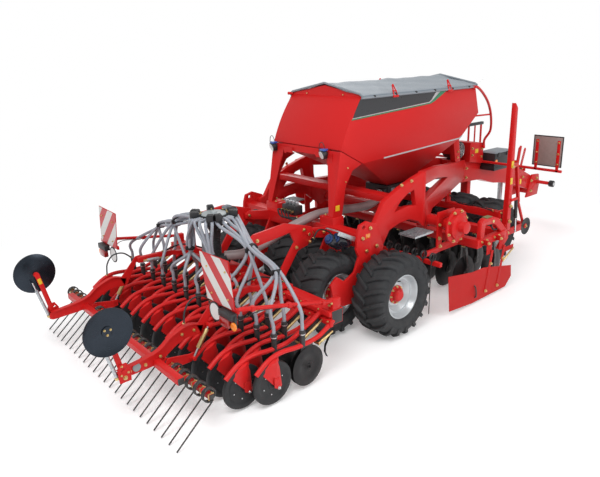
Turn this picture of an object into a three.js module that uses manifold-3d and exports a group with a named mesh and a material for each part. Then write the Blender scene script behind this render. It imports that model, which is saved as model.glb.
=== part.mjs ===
// Trailed three metre seed drill: hopper, disc section, tyre packers, coulter bar and following harrow.
// Millimetres. +X to the right, +Y forward along the line of travel, +Z up.
// Measured from the axle of the front row of roller wheels, and moved at the end so that
// the origin is under the middle of the whole machine, on the ground.
import * as THREE from 'three';
import { mergeVertices } from 'three/addons/utils/BufferGeometryUtils.js';
import { ConvexGeometry } from 'three/addons/geometries/ConvexGeometry.js';
import Module from 'manifold-3d';

const wasm = await Module();
wasm.setup();

// ---- driving dimensions ------------------------------------------------------------------

const seat = 0.3; // gap left between pieces that touch
const pinGap = 0.5; // running gap at guides
const pinSides = 16;
const boreFor = (pinRadius) => pinRadius / Math.cos(Math.PI / pinSides) + 0.25; // clears the pin's corners

const rowPitch = 125;
const rowCount = 24;
const barReach = 1450; // half the length of the coulter bar

const tyreDiameter = 900;
const tyreWidth = 400;
const rimDiameter = 456;
const hubWidth = 220;
const wheelPitch = 500;
const wheelSegments = 16;
const rollerStagger = 450; // rear row of the roller behind the front row
const packerY = 2680;
const axleZ = tyreDiameter / 2;
const stubRadius = 40;

const plateThickness = 30; // roller side plates
const plateX = 2 * wheelPitch; // middle of the outer plates
const rollerBeamY = -170;
const rollerBeamZ = 1020;
const beamSide = 140;

const archThickness = 60;
const frontBeamThickness = 80;
const archEndY = 830; // where the frame turns in towards the drawbar
const frontBeamEndY = 2850;
const drawbarHalf = 120;
const fanY = 2820;
const fanZ = 1490;
const fanRadius = 130;
const fanHalf = 110;

const crossTubeY = 1060;
const crossTubeZ = 970;
const crossTubeRadius = 70;
const crossTubeReach = 1440;
const markerBeamY = 2150;
const markerBeamZ = 860;
const markerBeamSide = 90;
const markerBeamReach = 1240;

const hopperHalf = 575;
const hopperWall = 5;
const hopperTopZ = 2445;
const coverRise = 150;
const coverThickness = 12;
const funnelBottomZ = 1250;
const legSheet = 10;
const legFootZ = 1180;
const legFootY = -200;
const supportHalf = 190; // half the width of the block on the drawbar
const railRadius = 17;

const seedBarY = -1000;
const seedBarZ = 580;
const seedBarPivotY = -550;
const seedBarPivotZ = 1080;
const seedBarPinRadius = 18;
const linkX = 550;
const headY = -1340;
const headZ = 1300;
const headRadius = 150;
const headBlockTurns = [-140, -115, -43, -20, 48, 76, 104, 158]; // valve blocks round the head, in degrees
const columnRadius = 55;
const towerFootZ = 800;
const hoseRadius = 17;
const pressWheelRadius = 204;
const pressWheelWidth = 44;
const pressWheelY = -1772;
const openerRadius = 190;
const coulterAxleZ = 214;
const rearRowShift = -220; // second row of coulters behind the first
const sleeveY = -1418;
const sleeveTopZ = 560;
const sleeveRadius = 22;

const harrowPivotY = -1860;
const harrowPivotZ = 800;
const harrowX = 6 * rowPitch; // midway between two coulters
const harrowArmHalf = 25;
const harrowPinRadius = 14;
const harrowPlateX = harrowX + harrowArmHalf + seat;
const harrowPlateOuterX = harrowPlateX + 16;
const harrowTubeY = -2500;
const harrowTubeZ = 430;
const coilBarY = -2385;
const coilBarZ = 360;
const tineTipY = -2690;
const tineTipZ = 14;
const tineRadius = 6;

const rowMarkerX = harrowPlateOuterX + 30;
const rowMarkerPivotY = -2800;
const rowMarkerPivotZ = 430;
const rowMarkerDiscY = -2905;
const rowMarkerDiscZ = 890;
const rowMarkerDiscRadius = 200;

const discRadius = 230;
const discPitch = 250;
const discRowYs = [1380, 1900];
const discFrameZ = 700;
const discAxleZ = 250;
const hangerX = 1150;
const levellerY = 650;
const levellerZ = 680;
const railOuterX = 1420;
const guardX = 1478;

const trackMarkerX = 1300;
const trackMarkerPivotZ = 720;
const trackMarkerHalf = 40;
const trackPinRadius = 12;
const trackMarkerTopZ = 2270;
const trackDiscY = 2600;
const trackDiscZ = 640;
const trackDiscRadius = 115;

const boardSide = 423;
const boardThickness = 4;
const hitchY = 5150;
const hitchZ = 650;
const standX = -170;
const standY = 4500;
const standSide = 60;

// ---- shape helpers -----------------------------------------------------------------------

function solid(geometry) {
  const bare = geometry.clone();
  bare.deleteAttribute('normal');
  bare.deleteAttribute('uv');
  const merged = mergeVertices(bare, 1e-3);
  const triangles = Uint32Array.from(merged.index.array);
  const vertices = Float32Array.from(merged.attributes.position.array);
  const mesh = new wasm.Mesh({ numProp: 3, vertProperties: vertices, triVerts: triangles });
  const made = new wasm.Manifold(mesh);
  if (made.volume() > 0) return made;
  for (let i = 0; i < triangles.length; i += 3) {
    [triangles[i], triangles[i + 1]] = [triangles[i + 1], triangles[i]];
  }
  return new wasm.Manifold(new wasm.Mesh({ numProp: 3, vertProperties: vertices, triVerts: triangles }));
}

function join(solids) {
  return solids.reduce((whole, next) => whole.add(next));
}

function box(x0, x1, y0, y1, z0, z1) {
  const geometry = new THREE.BoxGeometry(x1 - x0, y1 - y0, z1 - z0);
  return solid(geometry.translate((x0 + x1) / 2, (y0 + y1) / 2, (z0 + z1) / 2));
}

// a rectangular bar between two points: width is level, height is across it
function bar(from, to, width, height) {
  const start = new THREE.Vector3(...from);
  const run = new THREE.Vector3(...to).sub(start);
  const along = run.clone().normalize();
  const vertical = Math.abs(along.z) > 0.999;
  const level = along.clone().cross(new THREE.Vector3(0, 0, 1)).normalize();
  const across = vertical ? new THREE.Vector3(1, 0, 0) : level;
  const upward = across.clone().cross(along);
  const geometry = new THREE.BoxGeometry(width, run.length(), height);
  geometry.applyMatrix4(new THREE.Matrix4().makeBasis(across, along, upward));
  const middle = start.addScaledVector(run, 0.5);
  return solid(geometry.translate(middle.x, middle.y, middle.z));
}

function rod(from, to, radius, sides = 12) {
  const start = new THREE.Vector3(...from);
  const run = new THREE.Vector3(...to).sub(start);
  const geometry = new THREE.CylinderGeometry(radius, radius, run.length(), sides);
  const turn = new THREE.Quaternion().setFromUnitVectors(new THREE.Vector3(0, 1, 0), run.clone().normalize());
  geometry.applyQuaternion(turn);
  const middle = start.addScaledVector(run, 0.5);
  return solid(geometry.translate(middle.x, middle.y, middle.z));
}

// an outline of [y, z] points, from x0 to x1
function sidePlate(outline, x0, x1, holes = []) {
  const corners = outline.map(([y, z]) => new THREE.Vector2(y, z));
  if (THREE.ShapeUtils.isClockWise(corners)) corners.reverse();
  const shape = new THREE.Shape(corners);
  shape.holes = holes.map((hole) => new THREE.Path(hole.map(([y, z]) => new THREE.Vector2(y, z))));
  const geometry = new THREE.ExtrudeGeometry(shape, { depth: x1 - x0, bevelEnabled: false });
  geometry.applyMatrix4(new THREE.Matrix4().set(0, 0, 1, x0, 1, 0, 0, 0, 0, 1, 0, 0, 0, 0, 0, 1));
  return solid(geometry);
}

function tube(points, radius, sides, steps) {
  const section = new THREE.Shape();
  for (let i = 0; i < sides; i += 1) {
    const angle = (2 * Math.PI * i) / sides;
    const [x, y] = [radius * Math.cos(angle), radius * Math.sin(angle)];
    if (i === 0) section.moveTo(x, y);
    else section.lineTo(x, y);
  }
  section.closePath();
  const path = new THREE.CatmullRomCurve3(points.map((point) => new THREE.Vector3(...point)));
  return solid(new THREE.ExtrudeGeometry(section, { steps, bevelEnabled: false, extrudePath: path }));
}

// a turned shape about an axis along X, with a flat facet at the bottom; profile is [radius, x]
function turned(profile, segments) {
  const grow = 1 / Math.cos(Math.PI / segments);
  const points = profile.map(([radius, x]) => new THREE.Vector2(radius * grow, x));
  const geometry = new THREE.LatheGeometry(points, segments);
  geometry.rotateZ(-Math.PI / 2);
  geometry.rotateX(Math.PI / segments);
  return solid(geometry);
}

function hull(points) {
  return solid(new ConvexGeometry(points.map((point) => new THREE.Vector3(...point))));
}

function mirrored(shape) {
  return shape.mirror([1, 0, 0]);
}

function bothSides(shape) {
  return shape.add(mirrored(shape));
}

// ---- scene -------------------------------------------------------------------------------

const paint = {
  red: { color: 0xd3151b, roughness: 0.35, metalness: 0.1 },
  rubber: { color: 0x1d1e20, roughness: 0.85, metalness: 0 },
  silver: { color: 0xaeb4b8, roughness: 0.35, metalness: 0.8 },
  black: { color: 0x232427, roughness: 0.5, metalness: 0.3 },
  grey: { color: 0x8f9297, roughness: 0.6, metalness: 0 },
  cover: { color: 0x6d7d88, roughness: 0.8, metalness: 0 },
  board: { color: 0xe8e8e8, roughness: 0.5, metalness: 0.1 },
};

const machine = new THREE.Group();

function place(name, shape, finish, position = [0, 0, 0]) {
  const { vertProperties, triVerts } = shape.getMesh();
  const geometry = new THREE.BufferGeometry();
  geometry.setAttribute('position', new THREE.BufferAttribute(Float32Array.from(vertProperties), 3));
  geometry.setIndex(new THREE.BufferAttribute(Uint32Array.from(triVerts), 1));
  const mesh = new THREE.Mesh(geometry, new THREE.MeshStandardMaterial(paint[finish]));
  mesh.name = name;
  mesh.position.set(...position);
  machine.add(mesh);
}

// ---- wheels ------------------------------------------------------------------------------

function tyreShape() {
  const [outer, inner, half] = [tyreDiameter / 2, rimDiameter / 2 + seat, tyreWidth / 2];
  return turned([
    [inner, half - 40],
    [outer - 90, half],
    [outer, half - 45],
    [outer, 45 - half],
    [outer - 90, -half],
    [inner, 40 - half],
    [inner, half - 40],
  ], wheelSegments);
}

// dished rim with its hub
function rimShape() {
  const [rim, half] = [rimDiameter / 2, tyreWidth / 2 - 45];
  return turned([
    [0, hubWidth / 2],
    [75, hubWidth / 2],
    [rim - 25, 20],
    [rim, half],
    [rim, -half],
    [rim - 25, -20],
    [75, -hubWidth / 2],
    [0, -hubWidth / 2],
  ], wheelSegments);
}

const rollerWheels = [
  ['left_outer', -2.5 * wheelPitch, 0],
  ['left_rear', -1.5 * wheelPitch, -rollerStagger],
  ['left_inner', -0.5 * wheelPitch, 0],
  ['right_inner', 0.5 * wheelPitch, 0],
  ['right_rear', 1.5 * wheelPitch, -rollerStagger],
  ['right_outer', 2.5 * wheelPitch, 0],
];
for (const [side, x, y] of rollerWheels) {
  place(`roller_tyre_${side}`, tyreShape(), 'rubber', [x, y, axleZ]);
  place(`roller_rim_${side}`, rimShape(), 'silver', [x, y, axleZ]);
}

const packerArmHalf = 15;
for (const [side, sign] of [['left', -1], ['right', 1]]) {
  for (const [position, step] of [['inner', 0.5], ['outer', 1.5]]) {
    const x = sign * step * wheelPitch;
    place(`packer_tyre_${side}_${position}`, tyreShape(), 'rubber', [x, packerY, axleZ]);
  }
  const rims = [0.5, 1.5].map((step) => rimShape().translate([sign * step * wheelPitch, 0, 0]));
  const ends = [packerArmHalf + seat, plateX - packerArmHalf - seat].map((x) => sign * x);
  const shaft = rod([ends[0], 0, 0], [ends[1], 0, 0], stubRadius, 8);
  place(`packer_axle_${side}`, join([...rims, shaft]), 'silver', [0, packerY, axleZ]);
}

// ---- roller frame ------------------------------------------------------------------------

function outerRollerPlate() {
  const outline = [
    [-270, 1110], [-240, 1195], [-130, 1220], [20, 1160], [130, 900], [105, 620], [80, 400],
    [-60, 370], [-230, 400], [-300, 360], [-500, 375], [-630, 500], [-660, 650], [-570, 720],
    [-460, 640], [-320, 700], [-250, 850], [-290, 940],
  ];
  const lug = new THREE.Path().absarc(-180, 1160, 22, 0, 2 * Math.PI, false).getPoints(5);
  return sidePlate(outline, plateX - plateThickness / 2, plateX + plateThickness / 2, [
    lug.slice(0, -1).map((point) => [point.x, point.y]),
  ]);
}

function innerRollerPlate() {
  const outline = [
    [-240, 1000], [-100, 1000], [75, 480], [60, 390], [-60, 380], [-175, 780], [-395, 400], [-500, 375],
    [-530, 470],
  ];
  return sidePlate(outline, wheelPitch - 12, wheelPitch + 12);
}

function rollerFrame() {
  const half = beamSide / 2;
  const reach = plateX - 12;
  const beam = box(
    -reach, reach, rollerBeamY - half, rollerBeamY + half, rollerBeamZ - half, rollerBeamZ + half,
  );
  const middlePlate = sidePlate([
    [-240, 1000], [-100, 1000], [75, 480], [60, 390], [-60, 380], [-90, 470],
  ], -12, 12);
  const hub = hubWidth / 2 + seat;
  const stub = (x0, x1, y) => rod([x0, y, axleZ], [x1, y, axleZ], stubRadius, 8);
  const stubs = join([
    stub(plateX, 2.5 * wheelPitch - hub, 0),
    stub(1.5 * wheelPitch + hub, plateX, -rollerStagger),
    stub(wheelPitch, 1.5 * wheelPitch - hub, -rollerStagger),
    stub(0.5 * wheelPitch + hub, wheelPitch, 0),
    stub(0, 0.5 * wheelPitch - hub, 0),
  ]);
  const legPad = box(380, 590, -215, -50, rollerBeamZ, legFootZ - seat);
  const pivotLug = sidePlate([
    [-235, 960], [-235, 1085], [-540, 1130], [-600, 1110], [-600, 1050], [-540, 1030],
  ], linkX - 45, linkX - 20);
  const side = join([outerRollerPlate(), innerRollerPlate(), stubs, legPad, pivotLug]);
  const pins = rod(
    [linkX - 30, seedBarPivotY, seedBarPivotZ], [linkX + 30, seedBarPivotY, seedBarPivotZ],
    seedBarPinRadius, pinSides,
  );
  return join([beam, middlePlate, bothSides(side.add(pins))]);
}

place('roller_frame', rollerFrame(), 'red');

// ---- main frame and drawbar --------------------------------------------------------------

const archOuterX = plateX - plateThickness / 2 - seat;
const archMiddleX = archOuterX - archThickness / 2;

function archPlate() {
  const frontY = archEndY + 50;
  const outline = [
    [-60, 1120], [30, 1150], [180, 1370], [420, 1470], [660, 1545], [frontY, 1590], [frontY, 935],
    [850, 950], [760, 1030], [600, 1085], [420, 1075], [260, 1030], [145, 870], [-60, 870],
  ];
  const opening = [[335, 1215], [440, 1320], [560, 1385], [672, 1412], [715, 1222], [560, 1238]];
  return sidePlate(outline, archOuterX - archThickness, archOuterX, [opening]);
}

// upright plate that runs in from the arch to the side of the drawbar
function frontBeam() {
  const outline = [
    [0, 1590], [730, 1525], [1180, 1460], [2300, 1330], [2300, 1050], [1003, 1050], [410, 1062], [150, 865],
    [0, 960],
  ];
  const opening = [[60, 1240], [30, 1435], [600, 1400], [1200, 1292], [604, 1270]];
  const half = frontBeamThickness / 2;
  const plate = sidePlate(outline, -half, half, [opening]);
  const angle = Math.atan2(archMiddleX - drawbarHalf, frontBeamEndY - archEndY);
  return plate.rotate([0, 0, (angle * 180) / Math.PI]).translate([archMiddleX, archEndY, 0]);
}

function mainFrame() {
  const sides = bothSides(archPlate().add(frontBeam()));
  const crossTube = rod(
    [-crossTubeReach, crossTubeY, crossTubeZ], [crossTubeReach, crossTubeY, crossTubeZ], crossTubeRadius,
  );
  const half = markerBeamSide / 2;
  const markerBeam = box(
    -markerBeamReach, markerBeamReach, markerBeamY - half, markerBeamY + half,
    markerBeamZ - half, markerBeamZ + half,
  );
  const hanger = box(395, 425, markerBeamY - half, markerBeamY + half, markerBeamZ, 1100);
  const rearBand = box(-archMiddleX, archMiddleX, 250, 400, 1330, 1400);
  const endPlate = rod([1290, crossTubeY, crossTubeZ], [1310, crossTubeY, crossTubeZ], 205, 16)
    .add(rod([1310, crossTubeY, crossTubeZ], [1345, crossTubeY, crossTubeZ], 150, 16));
  const markerCheek = (y) => box(
    markerBeamReach - 10, trackMarkerX + 30, y - 6, y + 6, trackMarkerPivotZ - 40, trackMarkerPivotZ + 40,
  );
  const cheekY = trackMarkerHalf + 12;
  const markerBase = join([
    sidePlate([[2090, 930], [2210, 930], [2210, 680], [2090, 680]], markerBeamReach - 20, markerBeamReach),
    markerCheek(markerBeamY - cheekY),
    markerCheek(markerBeamY + cheekY),
    rod(
      [trackMarkerX, markerBeamY - cheekY, trackMarkerPivotZ],
      [trackMarkerX, markerBeamY + cheekY, trackMarkerPivotZ], trackPinRadius, pinSides,
    ),
  ]);
  const pairs = join([endPlate, markerBase, hanger]);
  const whole = join([sides, crossTube, markerBeam, rearBand, bothSides(pairs)]);
  return whole.subtract(box(-drawbarHalf - seat, drawbarHalf + seat, 2600, 3300, 900, 1500));
}

place('main_frame', mainFrame(), 'red');

const drawbarTopAt = (y) => 1350 - ((y - 2700) * 155) / 900;

function drawbar() {
  const inner = standSide / 2 + pinGap;
  const outer = inner + 12;
  const sleeve = box(standX - outer, -drawbarHalf + 5, standY - outer, standY + outer, 760, 860)
    .subtract(box(standX - inner, standX + inner, standY - inner, standY + inner, 700, 900));
  const beam = sidePlate([
    [2700, 1010], [3400, 970], [3780, 850], [4200, 790], [4900, 560], [5080, 530], [5080, 740],
    [4400, 1040], [3600, drawbarTopAt(3600)], [2700, drawbarTopAt(2700)],
  ], -drawbarHalf, drawbarHalf);
  return beam.add(sleeve);
}

place('drawbar', drawbar(), 'red');

function hitch() {
  const cheek = sidePlate([
    [4820, 420], [5200, 420], [5240, 600], [5200, 780], [4980, 800],
  ], drawbarHalf + seat, 150);
  const shaft = rod([-450, hitchY, hitchZ], [450, hitchY, hitchZ], 30);
  const floorPlate = box(-140, 140, 5085, 5200, 430, 470);
  const facePlate = box(-140, 140, 5085, 5120, 430, 700);
  return join([bothSides(cheek), shaft, floorPlate, facePlate]);
}

place('hitch', hitch(), 'red');

function hoseHolder() {
  const post = box(-40, 40, 4530, 4590, 920, 1090);
  const prong = (x, lean) => bar([x, 4590, 1050], [x, 4590 + lean, 1330], 12, 60);
  const bridge = box(-80, 80, 4560, 4620, 1050, 1075);
  return join([post, bridge, prong(-70, 60), prong(70, 60)]).subtract(drawbar().translate([0, 0, seat]));
}

place('hose_holder', hoseHolder(), 'red');

function parkingStand() {
  const half = standSide / 2;
  const leg = box(standX - half, standX + half, standY - half, standY + half, 6, 980);
  const foot = box(standX - 80, standX + 80, standY - 80, standY + 80, 0, 12);
  return leg.add(foot);
}

place('parking_stand', parkingStand(), 'silver');

// ---- hopper ------------------------------------------------------------------------------

const hopperOutline = [
  [257, hopperTopZ], [-65, 1900], [272, 1715], [2123, 1788], [2517, 2083], [2404, hopperTopZ],
];
const hopperFrontSlopeAt = (y) => 1788 + ((y - 2123) * 295) / 394;

// block between the panels' lower edges and the outlet, shrunk by the wall
function funnel(wall) {
  const outlet = 150 - wall;
  const rim = hopperHalf - wall;
  const outletFrom = 1180 + wall;
  const outletTo = 1560 - wall;
  const points = [];
  for (const sign of [-1, 1]) {
    points.push([sign * rim, 272 + wall, 1715 + 20], [sign * rim, 2123 - wall, 1788 + 20]);
    points.push([sign * rim, 272 + wall, 1715], [sign * rim, 2123 - wall, 1788]);
    points.push([sign * outlet, outletFrom, funnelBottomZ], [sign * outlet, outletTo, funnelBottomZ]);
  }
  return hull(points);
}

function hopper() {
  const centre = [1230, 2080];
  const shrink = (point) => {
    const away = new THREE.Vector2(point[0] - centre[0], point[1] - centre[1]);
    const length = away.length();
    away.multiplyScalar((length - 1.6 * hopperWall) / length);
    return [centre[0] + away.x, centre[1] + away.y];
  };
  const inner = hopperOutline.map(shrink);
  const carryUp = (below, above) => { // runs a wall's inner line on past the open top
    const rise = (hopperTopZ + 50 - below[1]) / (above[1] - below[1]);
    above[0] = below[0] + (above[0] - below[0]) * rise;
    above[1] = hopperTopZ + 50;
  };
  carryUp(inner[1], inner[0]);
  carryUp(inner[4], inner[5]);
  const shell = sidePlate(hopperOutline, -hopperHalf, hopperHalf).add(funnel(0));
  const room = sidePlate(inner, hopperWall - hopperHalf, hopperHalf - hopperWall);
  const throat = funnel(hopperWall);
  return shell.subtract(room).subtract(throat)
    .subtract(box(-145, 145, 1190, 1550, funnelBottomZ - 20, funnelBottomZ + 20));
}

place('hopper', hopper(), 'red');

function cover() {
  const rise = (half, base, top) => hull([
    [-half, 240, base], [half, 240, base], [0, 240, top],
    [-half, 2425, base], [half, 2425, base], [0, 2425, top],
  ]);
  const base = hopperTopZ + seat;
  const outer = rise(hopperHalf + 12, base, base + coverRise);
  const innerHalf = hopperHalf - 20;
  const inner = hull([
    [-innerHalf, 260, base - 1], [innerHalf, 260, base - 1], [0, 260, base + coverRise - coverThickness],
    [-innerHalf, 2405, base - 1], [innerHalf, 2405, base - 1], [0, 2405, base + coverRise - coverThickness],
  ]);
  return outer.subtract(inner);
}

place('hopper_cover', cover(), 'cover');

// L-folded sheet leg under the rear corner of the hopper
function rearLeg() {
  const inside = hopperHalf - legSheet;
  const side = sidePlate([
    [legFootY, legFootZ], [-60, legFootZ], [0, 1500], [110, 1660], [250, 1715 - seat], [-74, 1893],
  ], inside, hopperHalf);
  const face = hull([
    [505, legFootY, legFootZ], [hopperHalf, legFootY, legFootZ],
    [505, legFootY + legSheet, legFootZ], [hopperHalf, legFootY + legSheet, legFootZ],
    [370, -75, 1885], [hopperHalf, -75, 1885], [370, -65, 1885], [hopperHalf, -65, 1885],
  ]);
  const foot = box(420, 570, legFootY, -60, legFootZ, legFootZ + legSheet);
  const clearOfHopper = sidePlate([
    [-65 - seat * 2, 1900], [272 - seat, 1715 - seat], [400, 1715], [400, 2000], [-64, 2000],
  ], 0, 700);
  return join([side, face, foot]).subtract(clearOfHopper);
}

function rearLegs() {
  const yoke = hull([
    [-390, -89, 1820], [390, -89, 1820], [-390, -79, 1820], [390, -79, 1820],
    [-390, -76, 1890], [390, -76, 1890], [-390, -67, 1890], [390, -67, 1890],
  ]);
  return bothSides(rearLeg()).add(yoke);
}

place('hopper_legs_rear', rearLegs(), 'red');

function frontLegs() {
  const base = 1403 + seat;
  const leg = sidePlate([
    [2400, base], [2520, base],
    [2420, hopperFrontSlopeAt(2420) - seat], [2290, hopperFrontSlopeAt(2290) - seat],
  ], 250, 330);
  const brace = box(-260, 260, 2400, 2440, 1500, 1600);
  return bothSides(leg).add(brace);
}

place('hopper_legs_front', frontLegs(), 'red');

function metering() {
  const body = box(-200, 200, 1150, 1600, 1070, funnelBottomZ - seat);
  const outlet = box(40, 170, 1100, 1160, 1080, 1210);
  return body.add(outlet);
}

place('metering_unit', metering(), 'black');

function fanHousing() {
  const volute = rod([-fanHalf, fanY, fanZ], [fanHalf, fanY, fanZ], fanRadius, 16);
  return volute.add(box(-80, 80, fanY - 40, fanY + 40, drawbarTopAt(fanY - 40) + seat, fanZ));
}

place('fan_housing', fanHousing(), 'black');

function frontBlock() {
  const [y0, y1] = [2970, 3320];
  return sidePlate([
    [y0, drawbarTopAt(y0) + seat], [y1, drawbarTopAt(y1) + seat], [y1, 1550], [y0, 1590],
  ], -supportHalf, supportHalf);
}

place('front_support', frontBlock(), 'red');

function toolbox() {
  const inside = drawbarHalf + seat;
  return box(inside, 360, 3370, 3790, 1130, 1180)
    .add(hull([
      [inside, 3380, 1130], [350, 3380, 1130], [inside, 3780, 1130], [350, 3780, 1130],
      [inside, 3365, 1390], [370, 3365, 1390], [inside, 3800, 1390], [370, 3800, 1390],
    ]));
}

place('toolbox', toolbox(), 'black');

function handrail() {
  const clear = 24;
  const lowX = supportHalf + clear;
  const rail = tube([
    [hopperHalf + clear, 2350, 2425], [hopperHalf + clear, 2430, 2415], [hopperHalf - 35, 2671, 2314],
    [hopperHalf - 105, 2924, 2160], [hopperHalf - 195, 3156, 1956], [hopperHalf - 275, 3290, 1744],
    [lowX, 3290, 1600], [lowX, 3290, 1480],
  ], railRadius, 6, 14);
  const upperFoot = box(hopperHalf + seat, hopperHalf + clear, 2342, 2366, 2410, 2434);
  const lowerFoot = box(supportHalf + seat, lowX, 3278, 3302, 1482, 1506);
  return join([rail, upperFoot, lowerFoot]);
}

place('handrail', handrail(), 'red');

// ---- front packer frame and front boards -------------------------------------------------

// low beam ahead of the packer tyres, on a post under the drawbar
function packerFrame() {
  const reach = plateX + packerArmHalf;
  const beamY = packerY + tyreDiameter / 2 + 60;
  const half = 45;
  const beam = box(-reach, reach, beamY - half, beamY + half, axleZ - half, axleZ + half);
  const arm = (x) => box(
    x - packerArmHalf, x + packerArmHalf, packerY - 60, beamY, axleZ - half, axleZ + half,
  );
  const post = box(-60, 60, beamY - half, beamY + half, axleZ, 1100);
  return join([beam, arm(0), arm(plateX), arm(-plateX), post.subtract(drawbar().translate([0, 0, -seat]))]);
}

place('packer_frame', packerFrame(), 'red');

// two boards on one cross tube, just ahead of the block that holds the hopper
function frontBoards() {
  const [y, z, reach] = [3340 + seat, 1262, 1395];
  const tubeBar = rod([-reach, y, z], [reach, y, z], 20, 8);
  const flat = (x) => box(x - 22, x + 22, y - 26, y - 18, z - 15, 1680);
  const board = box(970, 970 + boardSide, y - 18, y - 18 + boardThickness, 1315, 1315 + boardSide);
  const link = box(1010, 1350, y - 26, y, z - 12, z + 12);
  return bothSides(join([flat(1030), flat(1335), board, link])).add(tubeBar);
}

place('front_boards', frontBoards(), 'red');

// ---- disc section ------------------------------------------------------------------------

function discFrame() {
  const beam = (y, reach) => box(-reach, reach, y - 50, y + 50, discFrameZ - 50, discFrameZ + 50);
  const rail = (x) => box(x - 80, x, discRowYs[0], discRowYs[1], discFrameZ - 40, discFrameZ + 40);
  const slotHalf = crossTubeRadius + pinGap;
  const hanger = sidePlate([
    [900, 650], [1420, 650], [1420, 750], [1220, 900], [1220, 1130], [900, 1130],
  ], hangerX - 10, hangerX + 10, [[
    [crossTubeY - slotHalf, 740], [crossTubeY + slotHalf, 740], [crossTubeY + slotHalf, 1046],
    [crossTubeY - slotHalf, 1046],
  ]]);
  const levellerArm = bar([hangerX, 920, levellerZ], [hangerX, levellerY, levellerZ], 30, 60);
  const side = join([rail(700), rail(railOuterX), hanger, levellerArm]);
  return join([beam(discRowYs[0], railOuterX), beam(discRowYs[1], railOuterX), bothSides(side)]);
}

place('disc_frame', discFrame(), 'red');

// one row of discs on their arms, hung from a strip under the beam
function discRow(y, shift, lean) {
  const top = discFrameZ - 50 - seat;
  const parts = [box(-1400, 1400, y - 30, y + 30, top - 20, top)];
  for (let i = 0; i < 11; i += 1) {
    const x = (i - 5) * discPitch + shift;
    const arm = bar([x, y, top - 10], [x, y + lean, discAxleZ], 24, 50);
    parts.push(arm, rod([x - 18, y + lean, discAxleZ], [x - 10, y + lean, discAxleZ], discRadius, 12));
  }
  return join(parts);
}

place('disc_row_front', discRow(discRowYs[1], 30, 60), 'black');
place('disc_row_rear', discRow(discRowYs[0], -30, 60), 'black');

function leveller() {
  const barTop = levellerZ - 30;
  const parts = [box(-1400, 1400, levellerY - 25, levellerY + 25, barTop - 50, barTop - seat)];
  for (let i = 0; i < 22; i += 1) {
    const x = (i - 10.5) * rowPitch;
    parts.push(bar([x, levellerY - 10, levellerZ - 60], [x, levellerY - 70, 30], 12, 12));
  }
  return join(parts);
}

place('leveller_tines', leveller(), 'black');

function sideGuard() {
  const plate = sidePlate([
    [680, 500], [730, 65], [1180, 25], [1910, 25], [2040, 134], [2020, 285], [1390, 420], [1150, 425],
  ], guardX, guardX + 8);
  const arm = (y) => box(guardX, guardX + 8, y - 25, y + 25, 280, discFrameZ + 30)
    .add(box(railOuterX + seat, guardX + 4, y - 15, y + 15, discFrameZ - 30, discFrameZ + 30));
  return join([plate, arm(1470), arm(1740)]);
}

place('side_guard_right', sideGuard(), 'red');
place('side_guard_left', mirrored(sideGuard()), 'red');

// ---- track markers -----------------------------------------------------------------------

function trackMarker() {
  const y = markerBeamY;
  const x = trackMarkerX;
  const foot = trackMarkerPivotZ - 40;
  const [half, top] = [trackMarkerHalf, trackMarkerTopZ];
  const mast = hull([
    [x - 35, y - half, foot], [x + 35, y - half, foot], [x - 35, y + half, foot], [x + 35, y + half, foot],
    [x - 26, y - 28, top], [x + 26, y - 28, top], [x - 26, y + 28, top - 60], [x + 26, y + 28, top - 60],
  ]).subtract(rod(
    [x, y - 60, trackMarkerPivotZ], [x, y + 60, trackMarkerPivotZ], boreFor(trackPinRadius), pinSides,
  ));
  const upper = bar([x, y + 20, 1500], [x, y + 160, 1500], 40, 40);
  const lower = bar([x, y + 150, 1520], [x, y + 260, 1000], 36, 36);
  const discArm = bar([x, y + 255, 1010], [x, trackDiscY, trackDiscZ], 24, 30);
  const hub = rod([x - 15, trackDiscY, trackDiscZ], [x + 15, trackDiscY, trackDiscZ], 30, 8);
  return join([mast, upper, lower, discArm, hub]);
}

place('track_marker_right', trackMarker(), 'red');
place('track_marker_left', mirrored(trackMarker()), 'red');

const trackDisc = turned([[0, 0], [trackDiscRadius, 12], [trackDiscRadius, 18], [40, 10], [0, 10]], 16);
const trackDiscX = trackMarkerX + 15 + pinGap;
place('track_disc_right', trackDisc, 'black', [trackDiscX, trackDiscY, trackDiscZ]);
place('track_disc_left', mirrored(trackDisc), 'black', [-trackDiscX, trackDiscY, trackDiscZ]);

// ---- coulter bar, coulters and seed hoses ------------------------------------------------

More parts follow.
